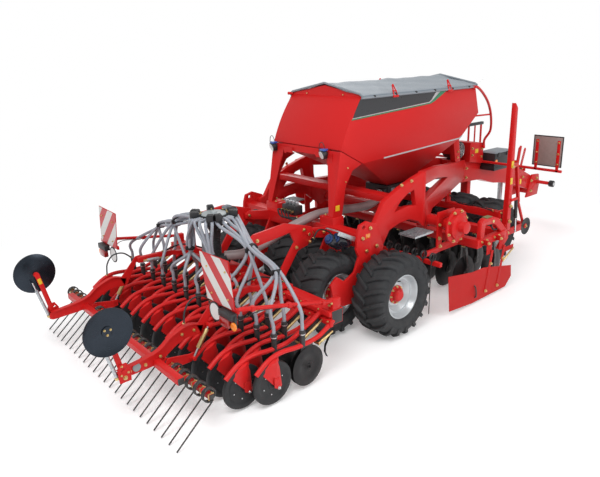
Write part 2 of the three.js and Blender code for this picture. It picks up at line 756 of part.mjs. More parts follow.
function seedBarFrame() {
  const half = beamSide / 2;
  const beam = box(-barReach, barReach, seedBarY - half, seedBarY + half, seedBarZ - half, seedBarZ + half);
  const link = sidePlate([
    [-500, 1150], [-480, 1060], [-560, 960], [-700, 930], [-860, 720], [-940, 620], [-1060, 653],
    [-1320, 800], [-1330, 1180], [-1250, 1230], [-860, 1260], [-620, 1190],
  ], linkX - 12, linkX + 12, [[
    [-820, 930], [-990, 700], [-1040, 690], [-1270, 840], [-1270, 1100], [-800, 1150], [-740, 1030],
  ]]).subtract(rod(
    [linkX - 40, seedBarPivotY, seedBarPivotZ], [linkX + 40, seedBarPivotY, seedBarPivotZ],
    boreFor(seedBarPinRadius), pinSides,
  ));
  const towerArm = bar([0, -1000, 665], [0, headY, towerFootZ - 20], 70, 60)
    .add(box(-60, 60, headY - 60, headY + 60, towerFootZ - 40, towerFootZ))
    .subtract(box(-70, 70, headY - 80, headY + 80, towerFootZ, towerFootZ + 60));
  const harrowArm = join([
    box(harrowX - 25, harrowX + 25, seedBarY - 40, seedBarY + 40, seedBarZ + half - 10, seedBarZ + half + 40),
    bar([harrowX, seedBarY, seedBarZ + half + 35], [harrowX, -1490, 790], 50, 50),
    bar([harrowX, -1480, 790], [harrowX, harrowPivotY - 25, harrowPivotZ], 2 * harrowArmHalf, 60),
    rod(
      [harrowX, harrowPivotY, harrowPivotZ], [harrowPlateX + 22, harrowPivotY, harrowPivotZ],
      harrowPinRadius, pinSides,
    ),
  ]);
  return join([beam, towerArm, bothSides(link), bothSides(harrowArm)]);
}

place('seed_bar', seedBarFrame(), 'red');

function distributionHead() {
  const column = rod([0, headY, towerFootZ + seat], [0, headY, headZ - 60], columnRadius, 16);
  const bowl = rod([0, headY, headZ - 110], [0, headY, headZ + 55], headRadius - 20, 24);
  const parts = [column, bowl];
  for (const degrees of headBlockTurns) {
    const angle = (degrees * Math.PI) / 180;
    const at = (radius) => [radius * Math.cos(angle), headY + radius * Math.sin(angle), headZ + 20];
    parts.push(bar(at(headRadius - 40), at(headRadius + 95), 55, 90));
  }
  return join(parts);
}

place('distribution_head', distributionHead(), 'black');

function rowX(index) {
  return (index - (rowCount - 1) / 2) * rowPitch;
}

// the outermost coulters on both sides stand in the front row on the right, in turn along the bar
function rowShift(index) {
  return (rowCount - 1 - index) % 2 === 0 ? 0 : rearRowShift;
}

// arm with its hose sleeve, opener leg and wheel guard in one profile, then the two discs
function coulter(x, shift, railZ) {
  const face = seedBarY - beamSide / 2 - seat;
  const back = ([y, z]) => [y + shift, z];
  const profile = [
    [face, railZ - 22], [-1225 + shift * 0.6, 425],
    ...[
      [-1345, 411], [-1358, 300], [-1392, 300], [-1410, 408], [-1700, 425], [-1745, 200], [-1850, 385],
      [-1930, 325], [-1955, 350], [-1790, 455], [-1690, 477], [sleeveY - sleeveRadius, 456],
      [sleeveY - sleeveRadius, sleeveTopZ], [sleeveY + sleeveRadius, sleeveTopZ],
      [sleeveY + sleeveRadius, 458],
    ].map(back),
    [-1240 + shift * 0.6, 470], [face, railZ + 22],
  ];
  const arm = sidePlate(profile, x - 20, x + 20);
  const half = pressWheelWidth / 2;
  const wheelY = pressWheelY + shift;
  const wheel = rod([x - half, wheelY, coulterAxleZ], [x + half, wheelY, coulterAxleZ], pressWheelRadius, 10);
  const opener = rod([x - 24, -1371 + shift, 219], [x - 18, -1371 + shift, 219], openerRadius, 8);
  return join([arm, wheel, opener]);
}

function coulterRow(shift, railZ) {
  const face = seedBarY - beamSide / 2 - seat;
  const parts = [box(-barReach, barReach, face - 30, face, railZ - 25, railZ + 25)];
  for (let index = 0; index < rowCount; index += 1) {
    if (rowShift(index) === shift) parts.push(coulter(rowX(index), shift, railZ));
  }
  return join(parts);
}

place('coulters_front_row', coulterRow(0, seedBarZ - 42), 'red');
place('coulters_rear_row', coulterRow(rearRowShift, seedBarZ + 42), 'red');

// twenty-four hoses leave the head all round and drop to the sleeves of their own coulters
function seedHoses() {
  const startRadius = headRadius + 16;
  const collarZ = headZ - 95;
  const [inside, outside] = [headRadius - 18, headRadius + 30];
  const collar = turned([[inside, -14], [outside, -14], [outside, 14], [inside, 14], [inside, -14]], 12)
    .rotate([0, 90, 0]).translate([0, headY, collarZ]);
  const parts = [collar];
  for (let index = 0; index < rowCount; index += 1) {
    const x = rowX(index);
    const y = sleeveY + rowShift(index);
    const share = Math.abs(x) / rowX(rowCount - 1);
    const swing = (rowShift(index) === 0 ? 1 : -1) * (1 - share) * 0.5 * Math.PI;
    const angle = x > 0 ? swing : Math.PI - swing;
    const at = (radius, z) => [radius * Math.cos(angle), headY + radius * Math.sin(angle), z];
    const bend = Math.sign(x) * Math.max(0.55 * Math.abs(x), 2 * columnRadius);
    parts.push(tube([
      at(startRadius, collarZ), at(startRadius + 70, collarZ - 15),
      [bend + 60 * Math.cos(angle), y - 40 + 40 * Math.sin(angle), 1060],
      [x, y, 850], [x, y, 650], [x, y, sleeveTopZ + seat],
    ], hoseRadius, 4, 8));
  }
  return join(parts);
}

place('seed_hoses', seedHoses(), 'grey');

function conveyingHose() {
  return tube([
    [105, 1100 - seat, 1145], [105, 1070, 1145], [200, 940, 1135], [300, 650, 1115], [300, 200, 1145],
    [300, -170, 1170], [300, -550, 1110], [270, -900, 1000], [190, -1120, 920], [90, -1275, 880],
  ], 50, 6, 14);
}

place('conveying_hose', conveyingHose(), 'grey');

// the left board sits further out than the right one, on a longer holder
function rearBoard(shift) {
  const y = -2000;
  const board = box(830 + shift, 830 + shift + boardSide, y - boardThickness, y, 900, 900 + boardSide);
  const barTop = seedBarZ + beamSide / 2;
  const tubeBar = rod([1300, y + 20, 915], [1415, seedBarY, barTop + 60], 18, 8);
  const foot = box(1385, 1445, seedBarY - 40, seedBarY + 40, barTop + seat, barTop + 75);
  const holder = box(840 + shift, 1320 + shift, y, y + 20, 880, 930);
  const lamp = box(1110 + shift, 1290 + shift, y - 40, y + 10, 800, 885);
  const sign = rod([975 + shift, y - 6, 805], [975 + shift, y, 805], 88, 12);
  const signPost = box(960 + shift, 990 + shift, y, y + 14, 780, 900);
  return join([board, tubeBar, foot, holder, lamp, sign, signPost]);
}

place('rear_board_right', rearBoard(0), 'board');
place('rear_board_left', mirrored(rearBoard(120)), 'board');

// ---- harrow and row markers --------------------------------------------------------------

function harrowFrame() {
  const arm = sidePlate([
    [harrowPivotY + 32, harrowPivotZ - 32], [harrowPivotY + 32, harrowPivotZ + 32],
    [harrowPivotY - 40, harrowPivotZ + 32], [-2080, 620], [-2180, 640], [-2300, 640], [-2480, 500],
    [-2560, 500], [-2860, 470], [-2840, 400], [-2560, 400], [-2470, 400], [-2250, 560],
    [-2130, 520], [-2030, 560],
    [harrowPivotY - 30, harrowPivotZ - 32],
  ], harrowPlateX, harrowPlateOuterX)
    .subtract(rod(
      [harrowX, harrowPivotY, harrowPivotZ], [harrowX + 90, harrowPivotY, harrowPivotZ],
      boreFor(harrowPinRadius), pinSides,
    ));
  const crossBar = box(-1200, 1200, harrowTubeY - 30, harrowTubeY + 30, harrowTubeZ - 30, harrowTubeZ + 30);
  const hangerTubeX = (harrowPlateX + harrowPlateOuterX) / 2;
  const hanger = bar([hangerTubeX, -2440, 430], [hangerTubeX, coilBarY, coilBarZ + 40], 16, 50);
  return bothSides(arm.add(hanger)).add(crossBar)
    .subtract(rod([-1500, coilBarY, coilBarZ], [1500, coilBarY, coilBarZ], 24 + seat, 10));
}

place('harrow_frame', harrowFrame(), 'red');

function harrowTines() {
  const parts = [rod([-1460, coilBarY, coilBarZ], [1460, coilBarY, coilBarZ], 24, 10)];
  for (let index = 0; index < rowCount; index += 1) {
    const x = rowX(index);
    parts.push(bar([x, coilBarY, coilBarZ - 20], [x, tineTipY, tineTipZ], 2 * tineRadius, 2 * tineRadius));
  }
  return join(parts);
}

place('harrow_tines', harrowTines(), 'black');

function rowMarkerArm() {
  const x = rowMarkerX;
  const arm = bar([x, rowMarkerPivotY, rowMarkerPivotZ], [x, rowMarkerDiscY, rowMarkerDiscZ], 16, 40);
  const pivot = rod(
    [harrowPlateOuterX + seat, rowMarkerPivotY, rowMarkerPivotZ], [x + 8, rowMarkerPivotY, rowMarkerPivotZ],
    20, 10,
  );
  const hub = rod([x, rowMarkerDiscY, rowMarkerDiscZ], [x + 30, rowMarkerDiscY, rowMarkerDiscZ], 24, 8);
  return join([arm, pivot, hub]);
}

place('row_marker_arm_right', rowMarkerArm(), 'red');
place('row_marker_arm_left', mirrored(rowMarkerArm()), 'red');

const rowMarkerDisc = turned([
  [0, 0], [rowMarkerDiscRadius, 25], [rowMarkerDiscRadius, 31], [60, 10], [0, 8],
], 16);
const rowMarkerDiscX = rowMarkerX + 30 + pinGap;
const leftDisc = mirrored(rowMarkerDisc);
place('row_marker_disc_right', rowMarkerDisc, 'black', [rowMarkerDiscX, rowMarkerDiscY, rowMarkerDiscZ]);
place('row_marker_disc_left', leftDisc, 'black', [-rowMarkerDiscX, rowMarkerDiscY, rowMarkerDiscZ]);

// ---- pressure vessels on the roller frame ------------------------------------------------

function accumulators() {
  const beamFace = rollerBeamY - beamSide / 2;
  const vessel = (x, y) => rod([x, y, 985], [x, y - 190, 1110], 62, 12);
  const bracket = box(840, 900, beamFace - 180, beamFace - seat, 970, 1010);
  return vessel(870, beamFace - 140).add(vessel(900, beamFace - 70)).add(bracket);
}

place('accumulators', accumulators(), 'black');

// ---- whole machine -----------------------------------------------------------------------

const extent = new THREE.Box3().setFromObject(machine);
const middle = extent.getCenter(new THREE.Vector3());
machine.position.set(-middle.x, -middle.y, -extent.min.z);

export default machine;
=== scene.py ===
import math

import bmesh
import bpy
from mathutils import Matrix, Vector


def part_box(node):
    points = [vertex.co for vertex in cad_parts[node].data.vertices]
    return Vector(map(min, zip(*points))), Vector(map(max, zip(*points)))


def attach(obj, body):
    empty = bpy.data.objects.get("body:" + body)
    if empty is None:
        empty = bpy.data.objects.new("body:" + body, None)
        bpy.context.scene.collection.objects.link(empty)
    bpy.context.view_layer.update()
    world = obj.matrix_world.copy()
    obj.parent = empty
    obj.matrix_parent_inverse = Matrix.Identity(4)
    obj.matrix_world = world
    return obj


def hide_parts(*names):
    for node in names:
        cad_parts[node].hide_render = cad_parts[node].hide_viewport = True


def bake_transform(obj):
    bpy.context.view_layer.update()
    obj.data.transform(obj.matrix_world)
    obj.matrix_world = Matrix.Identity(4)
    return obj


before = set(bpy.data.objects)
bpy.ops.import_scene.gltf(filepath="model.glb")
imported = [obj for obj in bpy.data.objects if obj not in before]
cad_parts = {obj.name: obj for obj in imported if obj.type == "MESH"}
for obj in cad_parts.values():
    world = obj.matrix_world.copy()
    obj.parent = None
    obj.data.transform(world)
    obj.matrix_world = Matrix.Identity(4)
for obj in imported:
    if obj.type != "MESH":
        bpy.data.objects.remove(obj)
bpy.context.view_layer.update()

# Looks for a trailed seed drill. Metres; +X right, +Y forward along the line of travel, +Z up.
# Every shape is made with the axle of the inner roller wheels at Y 0, and moved to that
# axle's real place when its piece is finished.

axleY = sum(corner.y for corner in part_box("roller_rim_left_inner")) / 2
mirrorX = Matrix.Scale(-1, 4, (1, 0, 0))
white = (1, 1, 1, 1)


def localBox(node):
    low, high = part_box(node)
    shift = Vector((0, axleY, 0))
    return low - shift, high - shift


def centreOf(node):
    low, high = localBox(node)
    return (low + high) / 2


# ---- node helpers


def feed(tree, node, inputs):
    # each input gets a plain value, or a link from another node's output
    for name, value in inputs.items():
        if isinstance(value, bpy.types.NodeSocket):
            tree.links.new(value, node.inputs[name])
        else:
            node.inputs[name].default_value = value


def addNode(tree, kind, inputs=(), **choices):
    node = tree.nodes.new("ShaderNode" + kind)
    for name, value in choices.items():
        setattr(node, name, value)
    feed(tree, node, dict(inputs))
    return node


def mathNode(tree, operation, *values):
    return addNode(tree, "Math", enumerate(values), operation=operation).outputs[0]


def mixColour(tree, share, first, second):
    return addNode(tree, "Mix", {0: share, 6: first, 7: second}, data_type="RGBA").outputs[2]


def noiseAt(tree, where, scale, detail=3.0, roughness=0.5):
    inputs = {"Vector": where, "Scale": scale, "Detail": detail, "Roughness": roughness}
    return addNode(tree, "TexNoise", inputs).outputs["Fac"]


def axisOf(tree, vector, axis):
    return addNode(tree, "SeparateXYZ", {0: vector}).outputs[axis]


def rangeOf(tree, value, low, high, **choices):
    # 0 at the low end and 1 at the high end
    inputs = {"Value": value, "From Min": low, "From Max": high}
    return addNode(tree, "MapRange", inputs, **choices).outputs["Result"]


def seenBy(tree, *kinds):
    # 1 for the named kinds of ray and 0 for the rest
    path = addNode(tree, "LightPath")
    seen = path.outputs[kinds[0]]
    for kind in kinds[1:]:
        seen = mathNode(tree, "MAXIMUM", seen, path.outputs[kind])
    return seen


def newMaterial(name):
    material = bpy.data.materials.new(name)
    material.use_nodes = True
    tree = material.node_tree
    where = addNode(tree, "TexCoord").outputs["Object"]
    return material, tree, where, tree.nodes["Principled BSDF"]


def asMesh(part, name="small"):
    mesh = bpy.data.meshes.new(name)
    part.to_mesh(mesh)
    part.free()
    return mesh


def placed(name, data):
    thing = bpy.data.objects.new(name, data)
    bpy.context.scene.collection.objects.link(thing)
    return thing


# ---- camera, light and floor

view = {
    "place": (4.931, -4.374, 2.907),
    "angles": (49.15, 17.05, -1.63),  # turned left, dipped and leaning, in degrees
    "sensor": 36,
    "lens": 34.57,
    "shift": (-0.0082, -0.0145),
    "far": 200,
}


def makeCamera():
    turn, dip, lean = (math.radians(angle) for angle in view["angles"])
    ahead = Vector((-math.sin(turn) * math.cos(dip), math.cos(turn) * math.cos(dip), -math.sin(dip)))
    right = Vector((math.cos(turn), math.sin(turn), 0))
    up = right.cross(ahead)
    side = right * math.cos(lean) + up * math.sin(lean)
    top = up * math.cos(lean) - right * math.sin(lean)
    data = bpy.data.cameras.new("camera")
    data.sensor_width = view["sensor"]
    data.lens = view["lens"]
    data.shift_x, data.shift_y = view["shift"]
    data.clip_end = view["far"]
    camera = placed("camera", data)
    place = Vector(view["place"]) + Vector((0, axleY, 0))
    camera.matrix_world = Matrix.Translation(place) @ Matrix((side, top, -ahead)).transposed().to_4x4()
    bpy.context.scene.camera = camera


light = {
    "lamps": [  # name, place, size, watts, aimed at
        ("key", (3.5, -6.5, 8.5), 5.0, 410, (0, 0, 0.8)),
        ("fill", (8.5, 1.5, 5.5), 6.0, 235, (0, 0.5, 0.8)),
        ("back", (-7.0, 5.0, 7.0), 6.0, 225, (0, 0.5, 1.0)),
    ],
    "sky": 0.62,  # strength as a light; the camera sees plain white
}


def makeLights():
    for name, place, size, watts, aim in light["lamps"]:
        data = bpy.data.lights.new(name, "AREA")
        data.shape = "DISK"
        data.size = size
        data.energy = watts
        lamp = placed(name, data)
        lamp.location = place
        lamp.rotation_mode = "QUATERNION"
        lamp.rotation_quaternion = (Vector(aim) - Vector(place)).to_track_quat("-Z", "Y")
    world = bpy.data.worlds.new("sky")
    world.use_nodes = True
    tree = world.node_tree
    seen = seenBy(tree, "Is Camera Ray", "Is Transmission Ray")
    strength = addNode(tree, "MapRange", {"Value": seen, "To Min": light["sky"], "To Max": 1.0})
    feed(tree, tree.nodes["Background"], {"Color": white, "Strength": strength.outputs["Result"]})
    bpy.context.scene.world = world
    bpy.context.scene.view_settings.view_transform = "Standard"


floor = {
    "reach": 60,
    "drop": 0.001,
    "colour": (0.93, 0.93, 0.935, 1),
    "rough": 0.9,
    "shine": 0.1,
    "lift": 0.22,  # a little light of its own near the machine
    "fade": (4.6, 6.2),  # and plain white further out
}


def makeFloor():
    made = bmesh.new()
    bmesh.ops.create_grid(made, x_segments=1, y_segments=1, size=floor["reach"])
    bmesh.ops.translate(made, verts=made.verts, vec=(0, 0, -floor["drop"]))
    ground = placed("floor", asMesh(made, "floor"))
    material, tree, where, surface = newMaterial("pale_floor")
    seen = seenBy(tree, "Is Camera Ray", "Is Glossy Ray", "Is Transmission Ray")
    feed(tree, surface, {
        "Base Color": floor["colour"], "Roughness": floor["rough"], "Specular IOR Level": floor["shine"],
        "Emission Color": white, "Emission Strength": mathNode(tree, "MULTIPLY", seen, floor["lift"]),
    })
    away = addNode(tree, "VectorMath", {0: where}, operation="LENGTH").outputs["Value"]
    fade = rangeOf(tree, away, *floor["fade"], interpolation_type="SMOOTHSTEP")
    share = mathNode(tree, "MULTIPLY", seen, fade)
    plain = addNode(tree, "Emission").outputs[0]
    mixed = addNode(tree, "MixShader", {0: share, 1: surface.outputs[0], 2: plain})
    tree.links.new(mixed.outputs[0], tree.nodes["Material Output"].inputs["Surface"])
    ground.data.materials.append(material)


makeCamera()
makeLights()
makeFloor()
print("camera, light and floor made")

# ---- shared shader effects

weather = {
    "dustColour": (0.33, 0.27, 0.2, 1),
    "dustTop": 0.9,  # dust gets thicker from this height down to the ground
    "dustUp": 0.5,
    "dustPatch": 2.2,
    "edge": (0.54, 0.66),
    "edgeBreak": (0.5, 0.62),
    "edgeScale": 28.0,
}


def newGroup(name, inputs, output):
    group = bpy.data.node_groups.new(name, "ShaderNodeTree")
    for label, kind, value in (("Vector", "Vector", (0, 0, 0)), *inputs):
        socket = group.interface.new_socket(label, in_out="INPUT", socket_type="NodeSocket" + kind)
        socket.default_value = value
    label, kind = output
    group.interface.new_socket(label, in_out="OUTPUT", socket_type="NodeSocket" + kind)
    given = group.nodes.new("NodeGroupInput").outputs
    result = group.nodes.new("NodeGroupOutput").inputs[label]
    return group, given, result


def makeToneGroup():
    # slow change of tone over a surface
    inputs = [("Colour", "Color", (0.8, 0.8, 0.8, 1)), ("Amount", "Float", 0.1), ("Scale", "Float", 3.0)]
    group, given, result = newGroup("toneChange", inputs, ("Colour", "Color"))
    centred = mathNode(group, "SUBTRACT", noiseAt(group, given["Vector"], given["Scale"]), 0.5)
    value = mathNode(group, "ADD", mathNode(group, "MULTIPLY", centred, given["Amount"]), 1.0)
    shade = addNode(group, "HueSaturation", {"Color": given["Colour"], "Value": value})
    group.links.new(shade.outputs["Color"], result)
    return group


def makeDustGroup():
    # dry dust that lies on what faces up, thicker near the ground
    inputs = [("Amount", "Float", 0.2), ("Scale", "Float", 9.0)]
    group, given, result = newGroup("dust", inputs, ("Mask", "Float"))
    facing = axisOf(group, addNode(group, "NewGeometry").outputs["Normal"], "Z")
    upward = mathNode(group, "MULTIPLY", mathNode(group, "MAXIMUM", facing, 0.0), weather["dustUp"])
    low = rangeOf(group, axisOf(group, given["Vector"], "Z"), weather["dustTop"], 0.0)
    lying = mathNode(group, "ADD", upward, low)
    patchy = noiseAt(group, given["Vector"], given["Scale"], 6.0, 0.6)
    broken = mathNode(group, "MULTIPLY", lying, mathNode(group, "POWER", patchy, weather["dustPatch"]))
    clamp = addNode(group, "Clamp", {"Value": mathNode(group, "MULTIPLY", broken, given["Amount"])})
    group.links.new(clamp.outputs[0], result)
    return group


def makeEdgeGroup():
    # thin worn line along sharp edges, broken up by noise
    group, given, result = newGroup("edgeWear", [("Amount", "Float", 0.5)], ("Mask", "Float"))
    point = addNode(group, "NewGeometry").outputs["Pointiness"]
    broken = noiseAt(group, given["Vector"], weather["edgeScale"], 4.0)
    worn = mathNode(group, "MULTIPLY", rangeOf(group, point, *weather["edge"]),
                    rangeOf(group, broken, *weather["edgeBreak"]))
    group.links.new(mathNode(group, "MULTIPLY", worn, given["Amount"]), result)
    return group


toneChange = makeToneGroup()
dust = makeDustGroup()
edgeWear = makeEdgeGroup()


def useGroup(tree, group, inputs):
    node = addNode(tree, "Group", node_tree=group)
    feed(tree, node, inputs)
    return node.outputs[0]


def toned(tree, where, colour, amount, scale):
    colour = (*colour, 1) if isinstance(colour, tuple) else colour
    return useGroup(tree, toneChange, {"Vector": where, "Colour": colour, "Amount": amount, "Scale": scale})


def dusted(tree, where, under, amount, scale, colour=weather["dustColour"]):
    lying = useGroup(tree, dust, {"Vector": where, "Amount": amount, "Scale": scale})
    return mixColour(tree, lying, under, colour), lying


def patchy(tree, where, scale, detail, spread, low):
    # noise between low and low + spread, for roughness
    return mathNode(tree, "MULTIPLY_ADD", noiseAt(tree, where, scale, detail), spread, low)


def addBump(tree, surface, height, strength, distance=0.001):
    bump = addNode(tree, "Bump", {"Height": height, "Strength": strength, "Distance": distance})
    tree.links.new(bump.outputs["Normal"], surface.inputs["Normal"])


def paintMaterial(name, colour, worn=(0.1, 0.09, 0.085, 1), gloss=0.36, coat=0.35, tone=0.16, dusty=0.25,
                  wear=0.5, shine=0.3):
    material, tree, where, surface = newMaterial(name)
    edge = useGroup(tree, edgeWear, {"Vector": where, "Amount": wear})
    scuffed = mixColour(tree, edge, toned(tree, where, colour, tone, 2.4), worn)
    colour, lying = dusted(tree, where, scuffed, dusty, 8.0)
    rough = mathNode(tree, "ADD", patchy(tree, where, 14.0, 5.0, 0.08, gloss - 0.04), lying)
    feed(tree, surface, {"Base Color": colour, "Roughness": rough, "Specular IOR Level": shine,
                         "Coat Weight": coat, "Coat Roughness": 0.12})
    addBump(tree, surface, noiseAt(tree, where, 260.0, 2.0), 0.02)
    return material


def metalMaterial(name, colour, rough, tone=0.25, scale=30.0, grain=0.1, metal=1.0, dusty=0.1):
    material, tree, where, surface = newMaterial(name)
    colour = dusted(tree, where, toned(tree, where, colour, tone, scale), dusty, 12.0)[0]
    feed(tree, surface, {"Base Color": colour, "Metallic": metal,
                         "Roughness": patchy(tree, where, scale * 2, 4.0, 0.25, rough - 0.12)})
    addBump(tree, surface, noiseAt(tree, where, scale * 6, 3.0), grain)
    return material


def galvanisedMaterial(name):
    # zinc crystals, pale and dark
    material, tree, where, surface = newMaterial(name)
    cells = addNode(tree, "TexVoronoi", {"Scale": 70, "Vector": where})
    grey = addNode(tree, "RGBToBW", {0: cells.outputs["Color"]}).outputs[0]
    feed(tree, surface, {
        "Base Color": mixColour(tree, grey, (0.36, 0.39, 0.41, 1), (0.62, 0.65, 0.67, 1)),
        "Metallic": 0.85, "Roughness": mathNode(tree, "MULTIPLY_ADD", grey, 0.2, 0.33),
    })
    addBump(tree, surface, noiseAt(tree, where, 140.0, 3.0), 0.08)
    return material


def rubberMaterial(name, colour, dusty=0.5, rough=0.72, grain=0.25):
    material, tree, where, surface = newMaterial(name)
    under = toned(tree, where, colour, 0.5, 7.0)
    colour = dusted(tree, where, under, dusty, 16.0, (0.13, 0.12, 0.11, 1))[0]
    feed(tree, surface, {"Base Color": colour, "Specular IOR Level": 0.35,
                         "Roughness": patchy(tree, where, 20.0, 5.0, 0.3, rough - 0.15)})
    addBump(tree, surface, noiseAt(tree, where, 190.0, 5.0), grain, 0.0015)
    return material


def plasticMaterial(name, colour, rough=0.45, grain=0.12, see=0.0):
    material, tree, where, surface = newMaterial(name)
    colour = dusted(tree, where, toned(tree, where, colour, 0.18, 5.0), 0.18, 10.0)[0]
    feed(tree, surface, {"Base Color": colour, "Subsurface Weight": see,
                         "Roughness": patchy(tree, where, 40.0, 3.0, 0.14, rough - 0.07)})
    addBump(tree, surface, noiseAt(tree, where, 420.0, 2.0), grain, 0.0008)
    return material


def clothMaterial(name, colour):
    # woven sheet with soft folds
    material, tree, where, surface = newMaterial(name)
    threads = [addNode(tree, "TexWave", {"Scale": 70, "Vector": where}, bands_direction=direction)
               for direction in ("X", "Y")]
    weave = mathNode(tree, "MULTIPLY", *(thread.outputs["Fac"] for thread in threads))
    darker = mixColour(tree, mathNode(tree, "MULTIPLY", weave, 0.16), toned(tree, where, colour, 0.22, 1.6),
                       (0.12, 0.14, 0.17, 1))
    colour = dusted(tree, where, darker, 0.25, 5.0, (0.42, 0.4, 0.36, 1))[0]
    feed(tree, surface, {"Base Color": colour, "Roughness": 0.55, "Sheen Weight": 0.15})
    height = mathNode(tree, "ADD", mathNode(tree, "MULTIPLY", weave, 0.06), noiseAt(tree, where, 6.0))
    addBump(tree, surface, height, 0.35, 0.012)
    return material


stripes = {
    "width": 0.283,  # one red and one white band
    "start": 0.115,
    "red": (0.54, 0.008, 0.014, 1),
    "white": (0.68, 0.67, 0.65, 1),
}


def stripedMaterial(name, lean):
    # slanting red and white bands across a board that stands in the X Z plane
    material, tree, where, surface = newMaterial(name)
    across = mathNode(tree, "MULTIPLY", axisOf(tree, where, "X"), lean)
    along = mathNode(tree, "ADD", mathNode(tree, "ADD", across, axisOf(tree, where, "Z")), stripes["start"])
    band = mathNode(tree, "FRACT", mathNode(tree, "DIVIDE", along, stripes["width"]))
    both = mixColour(tree, mathNode(tree, "GREATER_THAN", band, 0.5), stripes["red"], stripes["white"])
    feed(tree, surface, {"Base Color": toned(tree, where, both, 0.12, 6.0), "Roughness": 0.3})
    beads = addNode(tree, "TexVoronoi", {"Scale": 260, "Vector": where})
    addBump(tree, surface, beads.outputs["Distance"], 0.12)
    return material


def lampMaterial(name, colour, paintedGlow=0.0):
    # ribbed lens, with a painted glow: an emission of the given strength on parts that are not lit
    material, tree, where, surface = newMaterial(name)
    ribs = addNode(tree, "TexWave", {"Scale": 60, "Vector": where}).outputs["Fac"]
    darker = (*(part * 0.6 for part in colour), 1)
    feed(tree, surface, {
        "Base Color": mixColour(tree, ribs, darker, (*colour, 1)), "Roughness": 0.12, "Coat Weight": 0.6,
        "Emission Color": (*colour, 1), "Emission Strength": paintedGlow,
    })
    addBump(tree, surface, ribs, 0.3)
    return material


def discMaterial(name, axisY, axisZ):
    # turned steel plate: rings about an axle that runs along X
    material, tree, where, surface = newMaterial(name)
    squares = [mathNode(tree, "POWER", mathNode(tree, "SUBTRACT", axisOf(tree, where, axis), middle), 2.0)
               for axis, middle in (("Y", axisY), ("Z", axisZ))]
    ring = mathNode(tree, "SQRT", mathNode(tree, "ADD", *squares))
    feed(tree, surface, {"Base Color": toned(tree, where, (0.026, 0.034, 0.046), 0.5, 6.0), "Metallic": 0.75,
                         "Roughness": patchy(tree, where, 30.0, 4.0, 0.25, 0.1)})
    addBump(tree, surface, mathNode(tree, "FRACT", mathNode(tree, "MULTIPLY", ring, 110.0)), 0.12, 0.0006)
    return material


red = (0.6, 0.012, 0.012)
redPaint = paintMaterial("red_paint", red, coat=0.04, tone=0.1, wear=0.08, dusty=0.05, shine=0.22)
# a darker copy of the red paint for the side guards: the darker colour is painted shade, and the lower shine with no
# coat is their finish
shadedGuardPaint = paintMaterial("red_paint_guard_shaded", (0.5, 0.008, 0.008), gloss=0.5, coat=0.0, wear=0.08,
                           dusty=0.1, shine=0.15)
# a lighter copy of the red paint for the low coulter parts: painted light that lifts the shade under the machine
lowLitRedPaint = paintMaterial("red_paint_low_lit", (0.66, 0.014, 0.015), coat=0.04, dusty=0.08, wear=0.06,
                             shine=0.22)
hopperPaint = paintMaterial("red_paint_hopper", red, gloss=0.44, coat=0.0, tone=0.05, dusty=0.0, wear=0.0,
                            shine=0.22)
blackPaint = paintMaterial("black_paint", (0.016, 0.016, 0.018), worn=(0.2, 0.2, 0.2, 1), gloss=0.34, tone=0.3)
springBlack = paintMaterial("spring_black", (0.02, 0.021, 0.024), worn=(0.16, 0.16, 0.16, 1), tone=0.3,
                            wear=0.3)
silverPaint = metalMaterial("silver_paint", (0.56, 0.59, 0.61), 0.36, tone=0.1, scale=12.0, grain=0.03,
                            metal=0.55)
goldZinc = metalMaterial("gold_zinc", (0.68, 0.52, 0.24), 0.34, tone=0.6, scale=45.0)
steelPin = metalMaterial("bright_steel", (0.62, 0.63, 0.64), 0.28)
darkSteel = metalMaterial("dark_steel", (0.016, 0.016, 0.019), 0.42, tone=0.5, scale=22.0, metal=0.6,
                          dusty=0.15)
boardBack = metalMaterial("board_back", (0.33, 0.26, 0.24), 0.5, tone=0.3, metal=0.3)
galvanised = galvanisedMaterial("galvanised_sheet")
tyreRubber = rubberMaterial("tyre_rubber", (0.026, 0.028, 0.031))
wheelRubber = rubberMaterial("press_wheel_rubber", (0.02, 0.021, 0.023), dusty=0.12, rough=0.5, grain=0.12)
hoseRubber = rubberMaterial("hose_rubber", (0.018, 0.018, 0.02), dusty=0.2, rough=0.5, grain=0.08)
blackPlastic = plasticMaterial("black_plastic", (0.022, 0.023, 0.026))
greyPlastic = plasticMaterial("grey_plastic", (0.23, 0.26, 0.29))
headPlate = plasticMaterial("head_plate", (0.27, 0.31, 0.32), rough=0.38)
seedHose = plasticMaterial("seed_hose", (0.33, 0.355, 0.405), rough=0.34, grain=0.06, see=0.04)
airHose = plasticMaterial("air_hose", (0.3, 0.235, 0.235), rough=0.3, grain=0.06)
padOlive = plasticMaterial("pad_olive", (0.2, 0.19, 0.08), rough=0.6)
signWhite = plasticMaterial("sign_white", (0.74, 0.74, 0.73), rough=0.3)
stickerYellow = plasticMaterial("sticker_yellow", (0.75, 0.5, 0.02), rough=0.35)
bannerDark = plasticMaterial("banner_dark", (0.028, 0.029, 0.033), rough=0.3, grain=0.02)
bannerGreen = plasticMaterial("banner_green", (0.02, 0.2, 0.09), rough=0.3, grain=0.02)
bannerGrey = plasticMaterial("banner_grey", (0.45, 0.46, 0.47), rough=0.3, grain=0.02)
capBlue = plasticMaterial("cap_blue", (0.012, 0.045, 0.16), rough=0.25)
vesselBlack = plasticMaterial("vessel_black", (0.012, 0.013, 0.02), rough=0.16, grain=0.02)
coverCloth = clothMaterial("cover_cloth", (0.222, 0.26, 0.3))
stripesRight = stripedMaterial("board_stripes_right", 1.0)
stripesLeft = stripedMaterial("board_stripes_left", -1.0)
